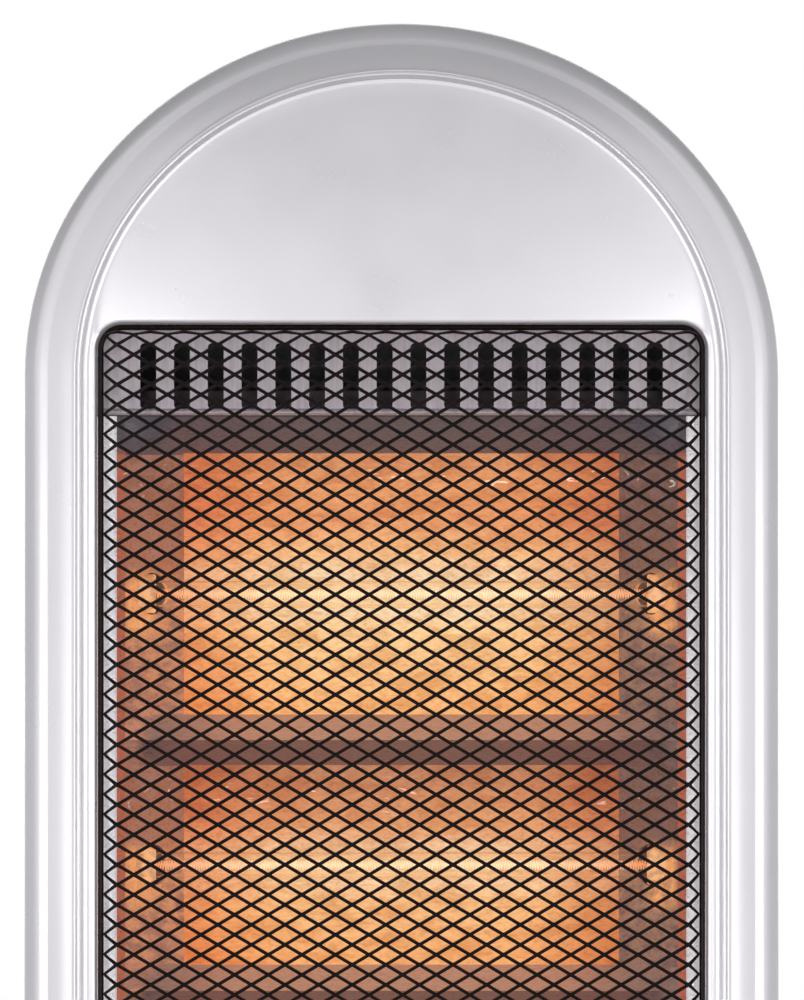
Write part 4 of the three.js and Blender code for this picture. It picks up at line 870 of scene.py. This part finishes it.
def vent_plate():
    """The slotted panel over the reflector, with a bead along its lower edge."""
    bottom, top = REFLECTOR_TOP + 0.3, WINDOW_TOP + 2
    bead = [(0, 2.4), (0.5, 2.1), (0.9, 1.5), (0.9, 0.9), (0.5, 0.3), (0, 0)]
    section = [(LINER_Y, top)] + [(LINER_Y - out, bottom + up) for out, up in bead]
    section += [(LINER_Y + SHEET, bottom), (LINER_Y + SHEET, top)]
    plate = bare("vent_plate", *skin([[(x, y, z) for y, z in section] for x in (-112, 112)], caps=True))
    centre = REFLECTOR_TOP + 2.9 + 11.5
    outlines = [slot_outline(5.7, 23.4, 1.4, (12.09 * (k - 7.5), centre), 4) for k in range(16)]
    carved(plate, [prism("slot", outline, LINER_Y - 2, LINER_Y + 3) for outline in outlines])
    dressed(plate, "head", "satin_sheet", ("vent_panel",), sharp=40)
    bevel = plate.modifiers.new("soft", "BEVEL")
    bevel.width, bevel.segments, bevel.limit_method, bevel.angle_limit = 0.0003, 2, "ANGLE", math.radians(50)


# ---- Tubes
def lamp(k, z):
    half, radius = 92, 5.2
    wall = [(radius, -half), (radius, half), (radius - 1, half), (radius - 1, -half)]
    piece(f"tube_{k}", *turned(wall, (0, TUBE_Y, z), "x", 40), "head", "quartz", (f"quartz_tube_{k}",))
    coil = []
    turns, steps = 190, 8
    for s in range(turns * steps + 1):
        a = 2 * math.pi * s / steps
        coil.append((-88 + 176 * s / (turns * steps), TUBE_Y + 1.5 * math.cos(a), z + 1.5 * math.sin(a)))
    piece(f"coil_{k}", *tube_along(coil, 0.26, 5), "head", "filament", (f"filament_{k}",), sharp=70)
    end, r = half - 4, CAP_RADIUS
    section = [
        (0, end + 4.3), (5.5, end + 4.3), (5.5, end + 0.4), (5.9, end), (r - 0.5, end), (r, end + 0.6),
        (r, end + 10), (r - 0.7, end + 10.8), (r - 0.7, end + 12.6), (r, end + 13.4), (r, end + 15.4),
        (r - 0.5, end + 16), (0, end + 16),
    ]
    for side, word in ((-1, "left"), (1, "right")):
        profile = [(radius, side * x) for radius, x in section]
        piece(f"cap_{word}_{k}", *turned(profile, (0, TUBE_Y, z), "x", 32), "head", "ceramic",
              (f"end_cap_{word}_{k}",))


# ---- Controls
def control_plate():
    width, height = CONTROL_SIZE

    def ring(growth, y):
        size = (width + 2 * growth, height + 2 * growth, CONTROL_CORNER + growth)
        return [(x, y, z) for x, z in slot_outline(*size, (0, CONTROL_Z), 8)]

    rows = [(-7.5, CONTROL_Y), (-1.2, CONTROL_Y), (-0.5, -49.25), (-0.1, -48.9), (0, -48.4), (0, -47.2),
            (3.5, -47.2), (3.5, -44.8), (-7.5, -44.8)]
    plate = bare("control_plate", *skin([ring(growth, y) for growth, y in rows], caps=True))
    cutters = [bare("hole", *turned([(0, -52), (r, -52), (r, -42), (0, -42)], (x, 0, CONTROL_Z), "y", 48))
               for x, r in ((KNOB_X, 3.5), (BUTTON_X, BUTTON_RADIUS + 0.5))]
    carved(plate, cutters)
    dressed(plate, "head", "panel_black", ("control_panel",))


def on_knob(outline, y):
    """An outline laid across the knob, turned to the place where the knob rests."""
    c, s = math.cos(math.radians(KNOB_REST)), math.sin(math.radians(KNOB_REST))
    return [(x * c + z * s + KNOB_X, y, -x * s + z * c + CONTROL_Z) for x, z in outline]


def rotary_knob():
    back, front, r = KNOB_BACK, KNOB_BACK - KNOB_HEIGHT, KNOB_RADIUS
    rings = []
    for radius, y in ((r - 1.8, back), (r - 0.2, back), (r, back - 0.3), (r, back - 2.6), (r - 0.4, back - 3.3),
                      (r - 1.6, back - 4.0), (4, back - 4.2)):
        turns = [2 * math.pi * k / 160 for k in range(160)]
        rings.append([(radius * math.cos(a) + KNOB_X, y, radius * math.sin(a) + CONTROL_Z) for a in turns])
    rings.append([(x * 0.98 + KNOB_X * 0.02, back - 1, z) for x, y, z in rings[-1]])
    piece("knob_skirt", *skin(rings, closed=True), "knob", "knob_silver", ("selector_knob",))
    rows = [(0.3, back - 3.9), (0.0, back - 5.5), (-0.25, front + 2.2), (-0.55, front + 0.9), (-1.2, front + 0.2),
            (-2.2, front), (-3.2, front)]
    rings = [on_knob(slot_outline(7 + 2 * growth, 28 + 2 * growth, 3.49 + growth, (0, 0), 8), y)
             for growth, y in rows]
    piece("knob_grip", *skin(rings, caps=True), "knob", "knob_silver")
    pointer = [on_knob(slot_outline(1.2, 9, 0.59, (0, 8.0), 5), y) for y in (front - 0.05, front + 0.3)]
    piece("knob_pointer", *skin(pointer, caps=True), "knob", "dark_plastic")


def push_button():
    middle, r = (BUTTON_X, 0, CONTROL_Z), BUTTON_RADIUS
    profile = [(0, -54.4), (4, -54.35), (r - 1.6, -54.1), (r - 0.6, -53.7), (r - 0.1, -53.0), (r, -52.2),
               (r, -44.5), (0, -44.5)]
    piece("button", *turned(profile, middle, "y", 64), "button", "knob_silver", ("swing_button",))
    ring = [(8.7, -49.5), (8.7, -50.2), (9.1, -50.5), (10.0, -50.5), (10.5, -50.2), (10.6, -49.5)]
    piece("button_ring", *turned(ring, middle, "y", 64), "head", "knob_silver", sharp=40)


DIAL_RADIUS = 17.9


def dial_print():
    """Generic numbers round the knob."""
    for number, turn in enumerate((-67.5, -22.5, 22.5, 67.5)):
        a = math.radians(turn)
        curve = bpy.data.curves.new(f"number_{number}", "FONT")
        curve.body, curve.size = str(number), 0.0031
        curve.align_x, curve.align_y, curve.extrude = "CENTER", "CENTER", 0.00006
        text = bpy.data.objects.new(f"number_{number}", curve)
        text.rotation_euler = (QUARTER, 0, 0)
        place = (KNOB_X + DIAL_RADIUS * math.sin(a), CONTROL_Y - 0.05, CONTROL_Z + DIAL_RADIUS * math.cos(a))
        text.location = [c * MM for c in place]
        bpy.context.scene.collection.objects.link(text)
        bpy.context.view_layer.update()
        mesh = bpy.data.meshes.new_from_object(text.evaluated_get(bpy.context.evaluated_depsgraph_get()))
        mesh.transform(text.matrix_world)
        bpy.data.objects.remove(text)
        obj = bpy.data.objects.new(f"number_{number}", mesh)
        bpy.context.scene.collection.objects.link(obj)
        dressed(obj, "head", "panel_black", material="print_white")


# ---- Neck and base
def neck_column():
    profile = [(WIRE_BORE, 43.4), (26, 43.4), (26, 51.6), (45.6, 51.6), (46, 52.0), (46, 53.9), (45.4, 55.0),
               (43.8, 57.3), (43, 58.6), (43, 60.4), (42.5, 60.8), (42.5, 61.6), (43, 62.0), (43, 65.3),
               (42.6, 65.7), (WIRE_BORE, 65.7)]
    piece("neck_column", *turned(profile, sides=96), "head", "dark_plastic", ("neck",), sharp=35)


def dome_line(inset):
    radius, top = BASE_RADIUS - inset, BASE_HEIGHT - inset
    rim = FOOT_HEIGHT + RIM_HEIGHT

    def curve(a, b, c, steps):
        return [tuple((1 - t) ** 2 * p + 2 * t * (1 - t) * q + t * t * r for p, q, r in zip(a, b, c))
                for t in (k / steps for k in range(steps + 1))]
    first = curve((radius, rim), (radius, rim + 9 - inset / 2), (radius - 9, rim + 11 - inset), 8)
    middle = ((radius + COLLAR_RADIUS) / 2, (rim + 2 * top) / 3)
    second = curve((radius - 9, rim + 11 - inset), middle, (COLLAR_RADIUS + 3, top - 2), 14)
    return first + second[1:] + [(COLLAR_RADIUS + 2, top - 0.7), (COLLAR_RADIUS, top)]


def dome_cover():
    profile = [(BASE_RADIUS - 0.4, FOOT_HEIGHT), (BASE_RADIUS, FOOT_HEIGHT + 0.4)] + dome_line(0)
    profile += [(BOSS_INNER, BASE_HEIGHT), (BOSS_INNER, BOSS_BOTTOM), (BOSS_OUTER, BOSS_BOTTOM),
                (BOSS_OUTER, BASE_HEIGHT - BASE_WALL)]
    profile += dome_line(BASE_WALL)[::-1] + [(BASE_RADIUS - BASE_WALL, FOOT_HEIGHT)]
    cover = bare("dome_cover", *turned(profile, sides=160))
    carved(cover, [bare("way", *turned([(0, 128), (6.3, 128), (6.3, 147), (0, 147)], (0, 0, 12.8), "y", 32))])
    dressed(cover, "base", "silver_plastic", ("base_cover",), sharp=30)


def rubber_foot(k):
    a = math.radians(45 + 90 * k)
    centre = (122 * math.cos(a), 122 * math.sin(a), 0)
    profile = [(0, 0.5), (2.6, 0.5), (3.2, 0), (9.0, 0), (9.7, 0.3), (10, 1), (10, 3.6), (9.6, 4), (0, 4)]
    shape = turned(profile, centre, sides=40)
    piece(f"rubber_foot_{k + 1}", *shape, "base", "rubber", (f"foot_{k + 1}",), sharp=40)


def screw(name, centre):
    """A cross-head screw in the rear wall, its head standing a little out of it."""
    x, y, z = centre
    profile = [(0, 0.9), (1.6, 0.85), (2.8, 0.6), (3.4, 0.15), (3.6, -0.4), (0, -0.4)]
    head = bare(name, *turned(profile, centre, "y", 32))
    cutters = []
    for w, h in ((4.2, 0.9), (0.9, 4.2)):
        outline = [(x - w / 2, z - h / 2), (x + w / 2, z - h / 2), (x + w / 2, z + h / 2), (x - w / 2, z + h / 2)]
        cutters.append(prism("cross", outline, y + 0.2, y + 1.4))
    carved(head, cutters)
    dressed(head, "head", "plain_steel", sharp=35)


def screws():
    for k, (x, z) in enumerate(((-98, 440), (98, 440), (-98, 175), (98, 175))):
        screw(f"rear_screw_{k + 1}", (x, REAR_Y - 0.1, z))


def cord_sleeve():
    profile = [(3.6, 129), (6, 129), (6, 143.2), (5.6, 144), (4.0, 144), (3.6, 143.6)]
    piece("cord_sleeve", *turned(profile, (0, 0, 12.8), "y", 48), "base", "dark_plastic", ("cord_gland",))


# ---- Build
front_shell()
back_shell()
guard_mesh()
guard_wire()
reflector_sheet()
vent_plate()
for number, height in enumerate(TUBES, 1):
    lamp(number, height)
control_plate()
rotary_knob()
push_button()
dial_print()
neck_column()
dome_cover()
for number in range(4):
    rubber_foot(number)
screws()
cord_sleeve()

# The solids that show through take the same finishes.
slots = {entry["node"]: entry["material_slot"] for entry in frame["record"]["subparts"]}
for name, obj in frame["nodes"].items():
    obj.data.materials.clear()
    obj.data.materials.append(MATERIALS[slots[name]].data)


# ---- Stage
def seen(nodes, links):
    """1 for a ray that shows the background: from the camera, or by way of metal or glass."""
    path = nodes.new("ShaderNodeLightPath")
    total = path.outputs["Is Camera Ray"]
    for name in ("Is Glossy Ray", "Is Transmission Ray"):
        node = nodes.new("ShaderNodeMath")
        node.operation = "MAXIMUM"
        links.new(total, node.inputs[0])
        links.new(path.outputs[name], node.inputs[1])
        total = node.outputs[0]
    return total


floor = bare("floor", *turned([(0, 0), (700, 0), (1500, 0)], sides=64))
floor_finish = Material("floor_finish", roughness=0.7)
floor_finish.color(floor_finish.ramp(floor_finish.noise(3), [
    (0.3, shade(0.84, 0.84, 0.84)), (0.7, shade(0.86, 0.86, 0.86)),
]))
# Towards its rim the floor turns into the white of the background.
away = floor_finish.node("ShaderNodeVectorMath", operation="LENGTH")
floor_finish.link(floor_finish.place, away.inputs[0])
rim = floor_finish.span(away.outputs["Value"], 0.15, 1.1, 0.4, 1.0)
backdrop = floor_finish.node("ShaderNodeEmission")
blend = floor_finish.node("ShaderNodeMixShader")
shown = seen(floor_finish.nodes, floor_finish.links)
floor_finish.link(floor_finish.math("MULTIPLY", rim, shown), blend.inputs["Fac"])
floor_finish.link(floor_finish.shader.outputs[0], blend.inputs[1])
floor_finish.link(backdrop.outputs[0], blend.inputs[2])
floor_finish.link(blend.outputs[0], floor_finish.nodes["Material Output"].inputs["Surface"])
floor.data.materials.append(floor_finish.data)

world = bpy.data.worlds.new("studio")
bpy.context.scene.world = world
world.use_nodes = True
tree = world.node_tree
tree.nodes.clear()
output = tree.nodes.new("ShaderNodeOutputWorld")
white, ambient = tree.nodes.new("ShaderNodeBackground"), tree.nodes.new("ShaderNodeBackground")
white.inputs["Color"].default_value = (1, 1, 1, 1)
ambient.inputs["Color"].default_value = (0.97, 0.97, 1.0, 1)
ambient.inputs["Strength"].default_value = 0.3
# The backdrop is white at eye level and greyer overhead.
direction, apart, sky = (tree.nodes.new(f"ShaderNode{kind}") for kind in ("TexCoord", "SeparateXYZ", "MapRange"))
tree.links.new(direction.outputs["Generated"], apart.inputs[0])
tree.links.new(apart.outputs["Z"], sky.inputs["Value"])
for socket, number in (("From Min", -0.1), ("From Max", 0.6), ("To Min", 0.86), ("To Max", 0.4)):
    sky.inputs[socket].default_value = number
level, eye = tree.nodes.new("ShaderNodeMath"), tree.nodes.new("ShaderNodeLightPath")
level.operation = "MAXIMUM"
tree.links.new(sky.outputs["Result"], level.inputs[0])
tree.links.new(eye.outputs["Is Camera Ray"], level.inputs[1])
tree.links.new(level.outputs[0], white.inputs["Strength"])
mixer = tree.nodes.new("ShaderNodeMixShader")
tree.links.new(seen(tree.nodes, tree.links), mixer.inputs["Fac"])
tree.links.new(ambient.outputs[0], mixer.inputs[1])
tree.links.new(white.outputs[0], mixer.inputs[2])
tree.links.new(mixer.outputs[0], output.inputs["Surface"])


def lamp_panel(name, place, target, size, watts):
    light = bpy.data.lights.new(name, "AREA")
    light.shape, light.size, light.size_y, light.energy = "RECTANGLE", size[0], size[1], watts
    obj = bpy.data.objects.new(name, light)
    obj.location = place
    obj.rotation_euler = (Vector(target) - Vector(place)).to_track_quat("-Z", "Y").to_euler()
    obj.visible_camera = False
    bpy.context.scene.collection.objects.link(obj)


for side, word in ((-1, "left"), (1, "right")):
    lamp_panel(f"{word}_softbox", (2.0 * side, -1.9, 1.25), (0, 0, 0.4), (2.4, 2.4), 11)
    lamp_panel(f"{word}_strip", (0.55 * side, -0.75, 0.18), (0, 0, 0.25), (0.2, 0.5), 1.1)
    lamp_panel(f"{word}_front", (0.5 * side, -1.9, 0.28), (0, 0, 0.4), (0.2, 0.5), 4)
lamp_panel("back_softbox", (0, 2.6, 1.2), (0, 0, 0.3), (2.6, 2.0), 22)

camera = bpy.data.cameras.new("camera")
camera.sensor_fit, camera.sensor_width, camera.sensor_height = "AUTO", 36, 36
DISTANCE = 12.0
PHOTO_HEIGHT, PIXELS_PER_MM = 1000, 2.796
TOP_PIXEL = 22.5  # the row of the photo where the casing begins
SHIFT = 0.18  # the casing's middle lies half a pixel left of the photo's
camera.lens = 36 * DISTANCE / (PHOTO_HEIGHT / PIXELS_PER_MM * MM)
camera.clip_end = 100
viewer = bpy.data.objects.new("camera", camera)
viewer.location = (SHIFT * MM, FACE_Y * MM - DISTANCE,
                   (HEAD_TOP - (PHOTO_HEIGHT / 2 - TOP_PIXEL) / PIXELS_PER_MM) * MM)
viewer.rotation_euler = (QUARTER, 0, 0)
bpy.context.scene.collection.objects.link(viewer)
bpy.context.scene.camera = viewer
bpy.context.scene.view_settings.view_transform = "Standard"
